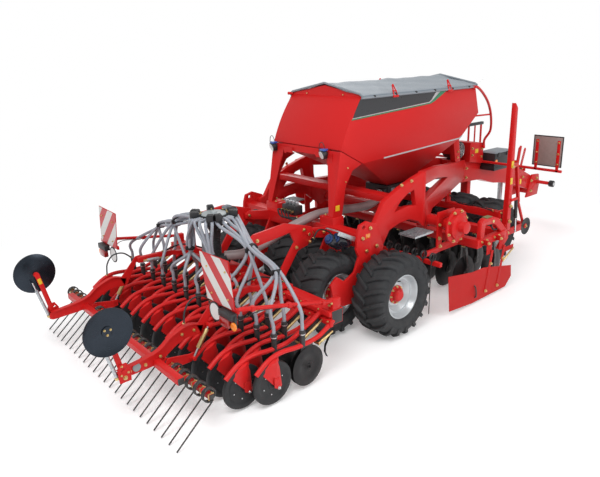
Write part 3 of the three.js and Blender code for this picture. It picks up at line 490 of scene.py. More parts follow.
# painted glow on the blue lamp tops, which are not lit
blueLampTopPaintedGlow = lampMaterial("lamp_blue_top_painted_glow", (0.03, 0.1, 0.42), 0.15)
lampRed = lampMaterial("lamp_red", (0.4, 0.01, 0.01))
# painted glow on the orange lenses, which are not lit
orangeLensPaintedGlow = lampMaterial("orange_lens_painted_glow", (0.9, 0.24, 0.01), 0.25)
print("materials made")

# ---- shape helpers


def turnTo(start, end):
    start, end = Vector(start), Vector(end)
    return Matrix.Translation(start) @ (end - start).to_track_quat("Z", "Y").to_matrix().to_4x4()


def around(count, first=0.0):
    # that many angles, evenly round a circle
    return [2 * math.pi * step / count + first for step in range(count)]


def pour(target, part, look=0, matrix=None):
    # puts a small shape into a bigger one, with its look
    for face in part.faces:
        face.material_index = look
    if matrix is not None:
        part.transform(matrix)
    mesh = asMesh(part)
    target.from_mesh(mesh)
    bpy.data.meshes.remove(mesh)


def stamp(target, mesh, matrix):
    # one more copy of a finished small mesh, which keeps its own looks
    copy = mesh.copy()
    copy.transform(matrix)
    if matrix.determinant() < 0:
        copy.flip_normals()
    target.from_mesh(copy)
    bpy.data.meshes.remove(copy)


def roundOff(part, width, steps=2, degrees=30):
    limit = math.radians(degrees)
    if width:
        sharp = [edge for edge in part.edges if len(edge.link_faces) == 2 and edge.calc_face_angle(0) > limit]
        bmesh.ops.bevel(part, geom=sharp, offset=width, offset_type="OFFSET", affect="EDGES",
                        segments=steps, profile=0.5, material=-1, clamp_overlap=True)


def addBlock(target, corner, opposite, look=0, round=0.003, matrix=None):
    low, high = (Vector(pick(pair) for pair in zip(corner, opposite)) for pick in (min, max))
    part = bmesh.new()
    bmesh.ops.create_cube(part, size=1)
    bmesh.ops.scale(part, vec=high - low, verts=part.verts)
    bmesh.ops.translate(part, vec=(low + high) / 2, verts=part.verts)
    roundOff(part, round)
    pour(target, part, look, matrix)


def addBar(target, start, end, width, height, look=0, round=0.003):
    # square bar between two points: width across, height in the upright plane
    length = (Vector(end) - Vector(start)).length
    along = (Vector(end) - Vector(start)).normalized()
    across = along.cross(Vector((0, 0, 1)))
    across = Vector((1, 0, 0)) if across.length < 1e-4 else across.normalized()
    turn = Matrix((across, along, across.cross(along))).transposed().to_4x4()
    addBlock(target, (-width / 2, 0, -height / 2), (width / 2, length, height / 2), look, round,
             Matrix.Translation(start) @ turn)


def addRod(target, start, end, radius, look=0, sides=16, endRadius=None, round=0.0):
    part = bmesh.new()
    length = (Vector(end) - Vector(start)).length
    bmesh.ops.create_cone(part, cap_ends=True, segments=sides, radius1=radius,
                          radius2=radius if endRadius is None else endRadius, depth=length,
                          matrix=Matrix.Translation((0, 0, length / 2)))
    roundOff(part, round, 2, 60)
    pour(target, part, look, turnTo(start, end))


def addBall(target, centre, radius, look=0, sides=12):
    part = bmesh.new()
    bmesh.ops.create_uvsphere(part, u_segments=sides, v_segments=sides // 2, radius=radius)
    pour(target, part, look, Matrix.Translation(centre))


def addSheet(target, loops, plane, through, look, round):
    # flat plate with holes, from closed loops of points
    part = bmesh.new()
    edges = []
    for loop in loops:
        corners = [part.verts.new(plane(a, b)) for a, b in loop]
        edges += [part.edges.new(pair) for pair in zip(corners, corners[1:] + corners[:1])]
    bmesh.ops.triangle_fill(part, use_beauty=True, use_dissolve=False, edges=edges)
    bmesh.ops.dissolve_limit(part, angle_limit=0.01, verts=part.verts, edges=part.edges)
    made = bmesh.ops.extrude_face_region(part, geom=part.faces[:])
    moved = [item for item in made["geom"] if isinstance(item, bmesh.types.BMVert)]
    bmesh.ops.translate(part, vec=through, verts=moved)
    bmesh.ops.recalc_face_normals(part, faces=part.faces)
    roundOff(part, round, 1)
    pour(target, part, look)


def addPlate(target, loops, x0, x1, look=0, round=0.002):
    # plate that stands across X, cut from loops of (y, z) points
    x0, x1 = sorted((x0, x1))
    addSheet(target, loops, lambda y, z: (x0, y, z), (x1 - x0, 0, 0), look, round)


def addPanel(target, loop, y0, y1, look=0, round=0.002):
    # plate that stands across Y, cut from a loop of (x, z) points
    y0, y1 = sorted((y0, y1))
    addSheet(target, [loop], lambda x, z: (x, y0, z), (0, y1 - y0, 0), look, round)


def spun(profile, steps=48, closed=False):
    # (radius, along) points turned about the X axis
    part = bmesh.new()
    corners = [part.verts.new((along, 0, radius)) for radius, along in profile]
    pairs = list(zip(corners, corners[1:])) + ([(corners[-1], corners[0])] if closed else [])
    edges = [part.edges.new(pair) for pair in pairs]
    bmesh.ops.spin(part, geom=corners + edges, cent=(0, 0, 0), axis=(1, 0, 0), dvec=(0, 0, 0),
                   angle=2 * math.pi, steps=steps, use_merge=True, use_duplicate=False)
    bmesh.ops.remove_doubles(part, verts=part.verts, dist=0.00002)
    bmesh.ops.recalc_face_normals(part, faces=part.faces)
    return part


def smoothLine(points, count):
    # evenly spaced points on a smooth curve through the given ones
    points = [Vector(point) for point in points]
    padded = [2 * points[0] - points[1], *points, 2 * points[-1] - points[-2]]
    fine = []
    for before, here, after, beyond in zip(padded, padded[1:], padded[2:], padded[3:]):
        for step in range(16):
            t = step / 16
            fine.append(0.5 * (2 * here + (after - before) * t
                               + (2 * before - 5 * here + 4 * after - beyond) * t * t
                               + (3 * here - before - 3 * after + beyond) * t ** 3))
    fine.append(points[-1])
    reach = [0.0]
    for first, second in zip(fine, fine[1:]):
        reach.append(reach[-1] + (second - first).length)
    line = []
    index = 0
    for step in range(count + 1):
        want = reach[-1] * step / count
        while index < len(fine) - 2 and reach[index + 1] < want:
            index += 1
        span = reach[index + 1] - reach[index]
        line.append(fine[index].lerp(fine[index + 1], (want - reach[index]) / span if span else 0))
    return line


def addTubes(target, lines, radius, look=0, sides=3, swell=None):
    # round tubes along lines of points; swell(step) scales the radius, as on ribbed hose
    data = bpy.data.curves.new("tubes", "CURVE")
    data.dimensions = "3D"
    data.bevel_depth = radius
    data.bevel_resolution = sides
    data.use_fill_caps = True
    for line in lines:
        spline = data.splines.new("POLY")
        spline.points.add(len(line) - 1)
        for step, (point, place) in enumerate(zip(spline.points, line)):
            point.co = (*place, 1)
            point.radius = swell(step) if swell else 1.0
    holder = placed("tubes", data)
    mesh = bpy.data.meshes.new_from_object(holder.evaluated_get(bpy.context.evaluated_depsgraph_get()))
    part = bmesh.new()
    part.from_mesh(mesh)
    bmesh.ops.remove_doubles(part, verts=part.verts, dist=0.00001)
    pour(target, part, look)
    bpy.data.objects.remove(holder)
    bpy.data.curves.remove(data)
    bpy.data.meshes.remove(mesh)


def hydraulicHose(target, points, radius=0.009, look=0, ends=1):
    # black hose with bright fittings
    line = smoothLine(points, 10 + 6 * len(points))
    addTubes(target, [line], radius, look, 2)
    for place, toward in ((line[0], line[1]), (line[-1], line[-2])):
        share = min(1.0, 0.03 / max((toward - place).length, 0.001))
        addRod(target, place, place.lerp(toward, share), radius * 1.6, ends, 8)


boltMeshes = {}
boltParts = [  # sides, radius below and above, height and middle, as shares of the size, and bevel
    (16, 1.25, 1.2, 0.3, 0.15, 0.0),
    (6, 1.0, 1.0, 0.8, 0.65, 0.1),
    (10, 0.55, 0.5, 0.5, 1.25, 0.0),
]


def boltMesh(size, look):
    # hexagon head on a washer, standing up along +Z from its seat
    whole = bmesh.new()
    for sides, below, above, height, middle, bevel in boltParts:
        part = bmesh.new()
        bmesh.ops.create_cone(part, cap_ends=True, segments=sides, radius1=size * below,
                              radius2=size * above, depth=size * height,
                              matrix=Matrix.Translation((0, 0, size * middle)))
        roundOff(part, size * bevel, 1, 40)
        pour(whole, part, look)
    return asMesh(whole, "bolt")


def addBolts(target, places, facing, size=16, look=1):
    # size is in millimetres
    if (size, look) not in boltMeshes:
        boltMeshes[size, look] = boltMesh(size / 1000, look)
    for place in places:
        stamp(target, boltMeshes[size, look], turnTo(place, Vector(place) + Vector(facing)))


def addBolt(target, place, facing, size=16, look=1):
    addBolts(target, [place], facing, size, look)


def bothHands(target, x, yz, size=16, look=1):
    # the same bolts on the outer faces of a left and a right plate
    for hand in (-1, 1):
        addBolts(target, [(hand * x, y, z) for y, z in yz], (hand, 0, 0), size, look)


def newPiece(name, part, body, looks, replaced=(), smooth=38):
    # finishes a shape: puts it in its real place and rides it on its body
    bmesh.ops.recalc_face_normals(part, faces=part.faces)
    bmesh.ops.translate(part, verts=part.verts, vec=(0, axleY, 0))
    mesh = asMesh(part, name)
    mesh.polygons.foreach_set("use_smooth", [True] * len(mesh.polygons))
    mesh.set_sharp_from_angle(angle=math.radians(smooth))
    for look in looks:
        mesh.materials.append(look)
    piece = placed(name, mesh)
    if body:
        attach(piece, body)
    if replaced:
        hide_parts(*replaced)
    return piece


def mirroredCopy(part):
    mesh = asMesh(part.copy())
    other = bmesh.new()
    stamp(other, mesh, mirrorX)
    bpy.data.meshes.remove(mesh)
    return other


def newPair(name, part, body, looks, node):
    # the right hand piece and its mirror image on the left
    other = mirroredCopy(part)
    for side, shape in (("right", part), ("left", other)):
        newPiece(f"{name}_{side}", shape, f"{body}_{side}", looks, [f"{node}_{side}"])


def softened(node, width=0.004):
    # the node's own shape with its edges rounded off, with the axle at Y 0
    part = bmesh.new()
    part.from_mesh(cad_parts[node].data)
    bmesh.ops.remove_doubles(part, verts=part.verts, dist=0.00002)
    bmesh.ops.dissolve_limit(part, angle_limit=0.01, verts=part.verts, edges=part.edges)
    bmesh.ops.translate(part, verts=part.verts, vec=(0, -axleY, 0))
    roundOff(part, width, 2, 25)
    for face in part.faces:
        face.material_index = 0
    return part


def addFolded(target, corners, faces, thickness):
    # folded sheet metal from a few corners, given its thickness
    part = bmesh.new()
    verts = [part.verts.new(corner) for corner in corners]
    for face in faces:
        part.faces.new([verts[index] for index in face])
    bmesh.ops.recalc_face_normals(part, faces=part.faces)
    bmesh.ops.solidify(part, geom=part.faces[:], thickness=thickness)
    bmesh.ops.recalc_face_normals(part, faces=part.faces)
    pour(target, part)


def circle(y, z, radius, count=16):
    return [(y + radius * math.cos(angle), z + radius * math.sin(angle)) for angle in around(count)]


# ---- tyres and wheels

tyre = {
    "lugs": 18,  # pairs round the tread
    "lugHeight": 0.03,
    "lugWidth": 0.036,
    "beadRadius": 0.226,
    "steps": 54,
    "tread": [(0.0, 0.0), (0.002, 0.45), (0.012, 0.76), (0.035, 0.93), (0.06, 0.975), (0.066, 0.985),
              (0.07, 0.975), (0.1, 1.0)],  # below the carcass, and out as a share of half the width
    "bead": [(0.05, 0.93), (0.03, 0.86), (0.024, 0.87), (0.018, 0.82), (0.002, 0.72), (-0.006, 0.6)],
}


def lugMesh(radius, halfWidth, hand):
    # one slanting bar of the tread, from the middle line out over the shoulder
    part = bmesh.new()
    bmesh.ops.create_cube(part, size=1)
    crossing = [edge for edge in part.edges if abs((edge.verts[0].co - edge.verts[1].co).x) > 0.5]
    bmesh.ops.subdivide_edges(part, edges=crossing, cuts=5, use_grid_fill=True)
    for vert in part.verts:
        out = vert.co.x + 0.5  # 0 at the middle line, 1 at the shoulder
        outer = vert.co.z > 0
        along = -0.012 + out * (halfWidth + 0.016)
        slant = 0.26 * out ** 0.85 + (0.04 if hand > 0 else 0.04 + math.pi / tyre["lugs"])
        wide = tyre["lugWidth"] * (1.0 if outer else 1.35) * (1 + 0.25 * out)
        drop = 0.05 * max(0.0, out - 0.62) ** 1.4 / 0.38
        reach = radius - drop * 1.3 if outer else radius - tyre["lugHeight"] - 0.012 - drop * 2.2
        angle = slant + vert.co.y * wide / radius
        vert.co = (hand * along, reach * math.sin(angle), reach * math.cos(angle))
    bmesh.ops.recalc_face_normals(part, faces=part.faces)
    roundOff(part, 0.004, 1, 40)
    return asMesh(part, "lug")


def tyreShape(radius, width):
    half = width / 2
    side = [(radius - tyre["lugHeight"] - under, half * out) for under, out in tyre["tread"]]
    side += [(tyre["beadRadius"] + over, half * out) for over, out in tyre["bead"]]
    left = [(reach, -along) for reach, along in reversed(side)]
    part = spun(left + side[1:], tyre["steps"], closed=True)
    lugs = [lugMesh(radius - 0.001, half, hand) for hand in (-1, 1)]
    for angle in around(tyre["lugs"]):
        for lug in lugs:
            stamp(part, lug, Matrix.Rotation(angle, 4, "X"))
    return part


def makeTyre(node, body):
    low, high = localBox(node)
    part = tyreShape((high.z - low.z) / 2, high.x - low.x)
    bmesh.ops.translate(part, verts=part.verts, vec=(low + high) / 2)
    newPiece("lugged_" + node, part, body, [tyreRubber], [node], smooth=42)


rim = {
    "radius": 0.226,
    "half": 0.15,  # of the width
    "edge": [(0.012, 0.0), (0.014, 0.008), (0.004, 0.01), (-0.006, -0.002), (-0.012, -0.035)],
    "well": [(-0.034, 0.09), (-0.036, -0.09)],
    "inside": [(-0.026, -0.062), (0.002, -0.03)],
    "discAt": 0.105,  # the disc sits this far in from the edge
    "disc": [(-0.03, 0.05), (-0.05, 0.052), (-0.07, 0.03)],
    "discBack": [(-0.07, 0.018), (-0.05, 0.04), (-0.03, 0.04)],
    "dish": [(0.135, 0.004), (0.125, 0.012), (0.0, 0.012), (0.0, 0.0), (0.12, 0.0), (0.135, -0.008)],
    "hub": [(0.075, 0.0), (0.1, 0.0), (0.1, 0.012), (0.072, 0.018), (0.066, 0.05), (0.05, 0.064), (0.0, 0.066)],
    "hubRoot": [(0.0, -0.1), (0.075, -0.1)],
    "studs": (8, 0.088, 0.01),  # count, radius, and how far they stand off the disc
    "valve": (0.03, 0.15),
}


def rimShape(outward):
    # rim barrel with its ledges, dished disc and red hub; outward is the side that the dish opens to
    half, radius = rim["half"], rim["radius"]
    edge = [(radius + out, half + along) for out, along in rim["edge"]]
    far = [(reach, -along) for reach, along in reversed(edge)]
    inside = [(radius + out, half + along) for out, along in rim["inside"]]
    back = [(radius + 0.002, -half + 0.03), (radius - 0.028, -half + 0.062)]
    well = [(radius + out, along) for out, along in rim["well"]]
    part = spun(edge + well + far + back + inside, 48, closed=True)
    at = half - rim["discAt"]
    face = at + 0.012
    disc = [(radius + out, at + along) for out, along in rim["disc"]]
    disc += [(reach, at + along) for reach, along in rim["dish"]]
    disc += [(radius + out, at + along) for out, along in rim["discBack"]]
    pour(part, spun(disc, 48), 0)
    pour(part, spun(rim["hubRoot"] + [(reach, face + along) for reach, along in rim["hub"]], 32), 1)
    count, reach, stand = rim["studs"]
    studs = [(face + stand, *place) for place in circle(0, 0, reach, count)]
    addBolts(part, studs, (1, 0, 0), 12, 2)
    valve = Vector((at + rim["valve"][0], 0.0, rim["valve"][1]))
    addRod(part, valve, valve + Vector((0.04, 0, 0.012)), 0.006, 3, 8)
    if outward < 0:
        bmesh.ops.transform(part, matrix=mirrorX, verts=part.verts)
    return part


wheelLooks = [silverPaint, redPaint, goldZinc, hoseRubber]

for place in ("left_outer", "left_rear", "left_inner", "right_inner", "right_rear", "right_outer"):
    body, node = "roller_wheel_" + place, "roller_rim_" + place
    makeTyre("roller_tyre_" + place, body)
    part = rimShape(-1 if place.startswith("left") else 1)
    bmesh.ops.translate(part, verts=part.verts, vec=centreOf(node))
    newPiece("dished_" + node, part, body, wheelLooks, [node])

for side, hand in (("left", -1), ("right", 1)):
    part = bmesh.new()
    for place in ("inner", "outer"):
        node = f"packer_tyre_{side}_{place}"
        makeTyre(node, "packer_pair_" + side)
        stamp(part, asMesh(rimShape(hand)), Matrix.Translation(centreOf(node)))
    low, high = localBox("packer_axle_" + side)
    y, z = (low.y + high.y) / 2, (low.z + high.z) / 2
    addRod(part, (low.x + 0.001, y, z), (high.x - 0.001, y, z), 0.04, 1, 24, round=0.004)
    newPiece("packer_wheels_" + side, part, "packer_pair_" + side, wheelLooks, ["packer_axle_" + side])
print("tyres and wheels made")

# ---- coulters

coulter = {
    "count": 24,
    "pitch": 0.125,
    "rearShift": -0.22,
    "barFace": -1.07,
    "railZ": (0.538, 0.622),  # front row, rear row
    "railHalf": 1.448,
    "armRadius": 0.0225,
    "wheelPlace": (-1.772, 0.214),
    "wheel": [(0.0, 0.012), (0.028, 0.012), (0.03, 0.017), (0.05, 0.017), (0.056, 0.01), (0.13, 0.008),
              (0.15, 0.014), (0.158, 0.019), (0.182, 0.021), (0.196, 0.018), (0.202, 0.008)],
    "discPlace": (-1.371, 0.219),
    "disc": [(0.0, 0.0), (0.045, 0.0), (0.05, -0.004), (0.1, -0.004), (0.104, -0.0015), (0.152, -0.002),
             (0.19, -0.009), (0.19, -0.012), (0.152, -0.007), (0.0, -0.006)],
    "discLean": 3.5,  # degrees
    "sleevePlace": (-1.418, 0.56),
    "sleeveRadius": 0.024,
    "guard": [(0.006, -1.9, 0.352), (0.05, -1.766, 0.424), (0.043, -1.722, 0.146), (0.006, -1.7, 0.438),
              (0.034, -1.694, 0.172), (-0.02, -1.79, 0.44), (0.048, -1.742, 0.152)],
    "guardFaces": [(0, 1, 6), (1, 3, 4, 2), (1, 2, 6), (0, 5, 1), (5, 3, 1)],
    "leg": [(-0.075, 0.452), (0.07, 0.452), (0.05, 0.33), (0.045, 0.189), (-0.035, 0.174), (-0.07, 0.3)],
}
# the coulters take the lighter copy of the red paint, a painted light
coulterLooks = [lowLitRedPaint, wheelRubber, darkSteel, goldZinc, blackPlastic, steelPin]


def coulterX(index):
    return (index - (coulter["count"] - 1) / 2) * coulter["pitch"]


def inRearRow(index):
    return (coulter["count"] - 1 - index) % 2 == 1


def pressWheel():
    side = coulter["wheel"]
    part = spun(side + [(reach, -along) for reach, along in reversed(side)], 40)
    for face in part.faces:
        face.material_index = 1
    for y, z in [(0.105 * math.cos(angle), 0.105 * math.sin(angle)) for angle in around(6, 0.3)]:
        for hand in (-1, 1):
            addRod(part, (hand * 0.008, y, z), (hand * 0.014, y, z), 0.006, 5, 8)
    return asMesh(part)


def openerDisc(hand):
    x = hand * 0.013
    part = spun([(reach, x + hand * (along + 0.011)) for reach, along in coulter["disc"]], 40)
    lean = Matrix.Rotation(math.radians(coulter["discLean"]) * hand, 4, "Z")
    bmesh.ops.transform(part, matrix=lean, verts=part.verts)
    return part


def coulterMesh(shift, railZ):
    part = bmesh.new()
    y0, wheelZ = coulter["wheelPlace"]
    wheelY = y0 + shift
    discY, discZ = coulter["discPlace"][0] + shift, coulter["discPlace"][1]
    sleeveY, sleeveTop = coulter["sleevePlace"][0] + shift, coulter["sleevePlace"][1]
    face = coulter["barFace"]
    arm = smoothLine([
        (0, face + 0.03, railZ + 0.012), (0, face - 0.04, railZ - 0.03),
        (0, -1.205 + shift * 0.6, 0.462 + (railZ - 0.538) * 0.4), (0, -1.31 + shift * 0.8, 0.443),
        (0, -1.47 + shift, 0.441), (0, -1.63 + shift, 0.458), (0, -1.735 + shift, 0.452),
        (0, -1.83 + shift, 0.418), (0, -1.938 + shift, 0.343),
    ], 30)
    addTubes(part, [arm], coulter["armRadius"])
    # clamp on the bar, with its bolts and pressure rod
    addBlock(part, (-0.03, face - 0.036, railZ - 0.034), (0.03, face + 0.004, railZ + 0.034), 0, 0.004)
    addBolts(part, [(0.0, face - 0.036, railZ + z) for z in (-0.022, 0.022)], (0, -1, 0), 8, 3)
    start, end = Vector((0.034, face - 0.012, railZ - 0.07)), Vector((0.034, -1.26 + shift * 0.55, 0.405))
    addRod(part, start, end, 0.009, 3, 10, round=0.002)
    addRod(part, start.lerp(end, 0.25), start.lerp(end, 0.8), 0.014, 3, 12, round=0.002)
    addRod(part, end - Vector((0.05, 0, 0)), end + Vector((0.016, 0, 0)), 0.011, 3, 8)
    # black rubber-look block under the arm, behind the clamp: a dark shape standing for the shade between the arms,
    # painted shade
    addBar(part, (0, face - 0.045, railZ - 0.075), (0, -1.25 + shift * 0.5, 0.4), 0.05, 0.055, 1, 0.008)
    # leg between the discs, its hub caps and the seed tube
    addPlate(part, [[(discY + y, z) for y, z in coulter["leg"]]], -0.011, 0.011, 4)
    for hand in (-1, 1):
        pour(part, openerDisc(hand), 2, Matrix.Translation((0, discY, discZ)))
        addRod(part, (hand * 0.012, discY, discZ), (hand * 0.032, discY, discZ), 0.032, 2, 14, 0.026, round=0.002)
        addBolt(part, (hand * 0.031, discY, discZ), (hand, 0, 0), 12, 2)
    for low, high, wider, look, bevel in (
        (0.42, sleeveTop - 0.03, 0.001, 4, 0.002), (sleeveTop - 0.034, sleeveTop + 0.024, 0.005, 4, 0.003),
        (sleeveTop - 0.014, sleeveTop - 0.006, 0.007, 5, 0.0),
    ):
        radius = coulter["sleeveRadius"] + wider
        addRod(part, (0, sleeveY, low), (0, sleeveY, high), radius, look, 14, round=bevel)
    # wheel, its folded guard and its axle
    stamp(part, pressWheel(), Matrix.Translation((0, wheelY, wheelZ)))
    addFolded(part, [(x, y + shift, z) for x, y, z in coulter["guard"]], coulter["guardFaces"], 0.005)
    addRod(part, (-0.03, wheelY, wheelZ), (0.04, wheelY, wheelZ), 0.012, 5, 10)
    strap = [(0.044, -0.012, -0.03), (0.044, 0.05, -0.066), (0.046, 0.05, 0.05), (0.046, -0.012, 0.06)]
    addFolded(part, [(x, wheelY + y, wheelZ + z) for x, y, z in strap], [(0, 1, 2, 3)], 0.004)
    addBolt(part, (0.048, wheelY + 0.036, wheelZ - 0.044), (1, 0, 0), 12, 5)
    return asMesh(part, "coulter")


def makeCoulters():
    face, half = coulter["barFace"], coulter["railHalf"]
    for row, shift, railZ in zip(("front", "rear"), (0.0, coulter["rearShift"]), coulter["railZ"]):
        one = coulterMesh(shift, railZ)
        part = bmesh.new()
        for index in range(coulter["count"]):
            if inRearRow(index) == (row == "rear"):
                stamp(part, one, Matrix.Translation((coulterX(index), 0, 0)))
        addBlock(part, (-half, face - 0.028, railZ - 0.024), (half, face, railZ + 0.024))
        name = f"coulters_{row}_row"
        newPiece("opener_" + name, part, "seed_bar_group", coulterLooks, [name])
        print(name, "made")


makeCoulters()

# ---- distribution head and seed hoses

head = {
    "place": (0.0, -1.34),
    "plateZ": 1.362,
    "plate": [(0, 0.022), (0.03, 0.02), (0.04, 0.008), (0.06, 0.004), (0.135, 0.003), (0.139, -0.003),
              (0.135, -0.008), (0, -0.008)],  # radius, and height from the plate
    "bowl": [(0, -0.006), (0.122, -0.006), (0.124, -0.05), (0.105, -0.09), (0.08, -0.14), (0.06, -0.19),
             (0.055, -0.25), (0, -0.25)],
    "ribs": (16, 0.018),
    "turns": (-140, -115, -43, -20, 48, 76, 104, 158),  # valve blocks round the plate, in degrees
    "paleBlock": 104,
    "block": (0.125, 0.245),
    "outletZ": 1.33,
    "footZ": 0.802,
    "elbow": [(0.0, -1.34, 0.845), (0.045, -1.31, 0.868), (0.1, -1.265, 0.888)],
}


def makeHead():
    part = bmesh.new()
    middle = Matrix.Translation((*head["place"], 0))
    upright = middle @ Matrix.Rotation(math.radians(-90), 4, "Y")
    z, foot = head["plateZ"], head["footZ"]
    pour(part, spun([(reach, z + up) for reach, up in head["plate"]], 48), 1, upright)
    pour(part, spun([(reach, z + up) for reach, up in head["bowl"]], 32), 0, upright)
    column = [(0, z - 0.24), (0.055, z - 0.24)]
    count, pitch = head["ribs"]
    for rib in range(count):
        top = z - 0.25 - rib * pitch
        column += [(0.055, top), (0.049, top - 0.005), (0.049, top - 0.011), (0.055, top - 0.016)]
    column += [(0.055, foot + 0.028), (0.066, foot + 0.024), (0.066, foot), (0, foot)]
    pour(part, spun(column, 28), 0, upright)
    near, far = head["block"]
    for degrees in head["turns"]:
        turn = middle @ Matrix.Rotation(math.radians(degrees), 4, "Z")
        look = 3 if degrees == head["paleBlock"] else 0
        addBlock(part, (near, -0.028, z - 0.085), (far - 0.02, 0.028, z + 0.008), 0, 0.005, turn)
        addBlock(part, (near + 0.03, -0.034, z - 0.03), (far, 0.034, z + 0.03), look, 0.005, turn)
        for slot in range(5):
            at = near + 0.042 + slot * 0.016
            addBlock(part, (at - 0.0035, -0.03, z + 0.029), (at + 0.0035, 0.03, z + 0.037), look, 0.0, turn)
        addRod(part, turn @ Vector((near + 0.03, 0, z - 0.08)), turn @ Vector((far - 0.05, 0, z - 0.13)), 0.02, 0,
               12, round=0.002)
        addBolt(part, turn @ Vector((near + 0.012, 0, z + 0.008)), (0, 0, 1), 8, 2)
    addTubes(part, [smoothLine(head["elbow"], 8)], 0.057, 0, 4)
    for angle in around(coulter["count"], math.radians(7.5)):
        turn = middle @ Matrix.Rotation(angle, 4, "Z")
        addRod(part, turn @ Vector((0.09, 0, head["outletZ"] + 0.008)),
               turn @ Vector((0.15, 0, head["outletZ"] - 0.004)), 0.02, 0, 12, round=0.002)
    newPiece("head_housing", part, "seed_bar_group", [blackPlastic, headPlate, goldZinc, greyPlastic],
             ["distribution_head"])


lowBand, midBand, outBand = (0.2, -1.53, 0.99), (0.7, -1.385, 1.15), (1.08, -1.4, 1.03)
hose = {
    "radius": 0.0172,
    "points": 80,
    "runs": [[lowBand], [midBand], [midBand, outBand]],  # bands of each run of four, nearest the middle first
    "perRun": 4,
    "start": [(0.125, 0.0), (0.185, 0.004), (0.25, 0.035)],  # out from the head, and down
    "gap": 0.037,
    "bands": [  # place, the place that the hoses run on to, and reach
        (lowBand, (0.22, -1.53, 0.7), 0.047), (midBand, outBand, 0.062), (outBand, (1.25, -1.45, 0.6), 0.047),
    ],
}


def bundled(centre, along, place, wide):
    # place of one hose in the bundle's cross section
    along = along.normalized()
    sideways = Vector((0, 1, 0))
    upward = along.cross(sideways).normalized()
    row, column = divmod(place, wide)
    middle = (wide - 1) / 2
    return centre + (sideways * (column - middle) + upward * (row - middle)) * hose["gap"]


def onHand(hand, place):
    return Vector((hand * place[0], *place[1:]))


def hoseRoute(hand, rank):
    # rank counts the hoses of one side from the middle outwards
    run, index = divmod(rank, hose["perRun"])
    half = coulter["count"] // 2
    coulterAt = half + rank if hand > 0 else half - 1 - rank
    x = hand * coulterX(half + rank)
    y = coulter["sleevePlace"][0] + (coulter["rearShift"] if inRearRow(coulterAt) else 0)
    angle = math.radians(-82.5 + 15 * rank)
    out = Vector((hand * math.cos(angle), math.sin(angle), 0))
    middle = Vector((*head["place"], head["outletZ"]))
    route = [middle + out * reach - Vector((0, 0, down)) for reach, down in hose["start"]]
    bands = [onHand(hand, place) for place in hose["runs"][run]]
    stops = [middle, *bands, Vector((x, y, 0.62))]
    for step, (before, centre, ahead) in enumerate(zip(stops, bands, stops[2:])):
        first = step == 0
        place = index + (hose["perRun"] if run == 2 and first else 0)
        route.append(bundled(centre, ahead - before, place, 3 if run and first else 2))
    route.append(Vector((x - hand * (0.03 if run else 0.01), y, 0.8 if run == 2 else 0.76)))
    return route + [Vector((x, y, 0.655)), Vector((x, y, coulter["sleevePlace"][1] + 0.004))]


def makeHoses():
    ranks = range(coulter["count"] // 2)
    lines = [smoothLine(hoseRoute(hand, rank), hose["points"]) for hand in (1, -1) for rank in ranks]
    part = bmesh.new()
    addTubes(part, lines, hose["radius"], swell=lambda step: 1.0 if step % 2 else 0.955)
    newPiece("hoses_to_coulters", part, "seed_bar_group", [seedHose], ["seed_hoses"], smooth=80)
    part = bmesh.new()
    for hand in (1, -1):
        for centre, ahead, reach in hose["bands"]:
            centre = onHand(hand, centre)
            along = (onHand(hand, ahead) - centre).normalized() * 0.02
            addRod(part, centre - along, centre + along, reach, 0, 10, round=0.006)
            knot = Vector((0.012, 0.008, 0.02))
            at = centre - Vector((0, reach + 0.004, 0))
            addBlock(part, at - knot, at + knot, 0, 0.002)
    newPiece("hose_bands", part, "seed_bar_group", [hoseRubber])


makeHead()
makeHoses()
print("head and hoses made")

# ---- conveying hose

air = {
    "route": [(0.105, 1.1, 1.145), (0.105, 1.06, 1.145), (0.2, 0.94, 1.135), (0.3, 0.65, 1.115),
              (0.3, 0.2, 1.145), (0.3, -0.17, 1.17), (0.3, -0.55, 1.11), (0.27, -0.9, 1.0),
              (0.19, -1.12, 0.92), (0.07, -1.29, 0.9)],
    "radius": 0.051,
    "points": 210,
}
part = bmesh.new()
addTubes(part, [smoothLine(air["route"], air["points"])], air["radius"], 0, 4,
         swell=lambda step: 1.0 if step % 2 else 0.95)
airPiece = newPiece("air_hose", part, None, [airHose], ["conveying_hose"], smooth=80)
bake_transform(airPiece)
print("conveying hose made")

# ---- hopper, cover and legs

hopper = {
    "half": 0.575,
    "sheet": 0.005,
    "rim": 2.445,
    "ridge": 0.112,
    "outline": [(0.257, 2.445), (-0.065, 1.9), (0.272, 1.715), (2.123, 1.788), (2.517, 2.083), (2.404, 2.445)],
    "bulge": 0.03,  # the rear wall is rolled outwards
    "outlet": [(0.15, 1.18), (0.15, 1.56), (-0.15, 1.56), (-0.15, 1.18)],
    "outletZ": 1.25,
    "gables": ((0.257, -1), (2.404, 1)),  # place, and the way that its fold stands out
    "strip": [(0.62, 1.722), (2.118, 1.781), (2.17, 1.816), (2.16, 1.824), (2.1, 1.797), (0.62, 1.738)],
    "dark": [(0.112, 2.226), (1.43, 2.304), (1.47, 2.322), (1.565, 2.42), (0.232, 2.42), (0.16, 2.31)],
    "grey": [(0.104, 2.217), (1.44, 2.293), (1.488, 2.314), (1.655, 2.42), (1.57, 2.42), (1.474, 2.322),
             (1.432, 2.302), (0.108, 2.2245)],
    "green": [(0.096, 2.203), (1.46, 2.279), (1.55, 2.308), (1.79, 2.42), (1.662, 2.42), (1.493, 2.313),
              (1.442, 2.291), (0.1, 2.2155)],
}


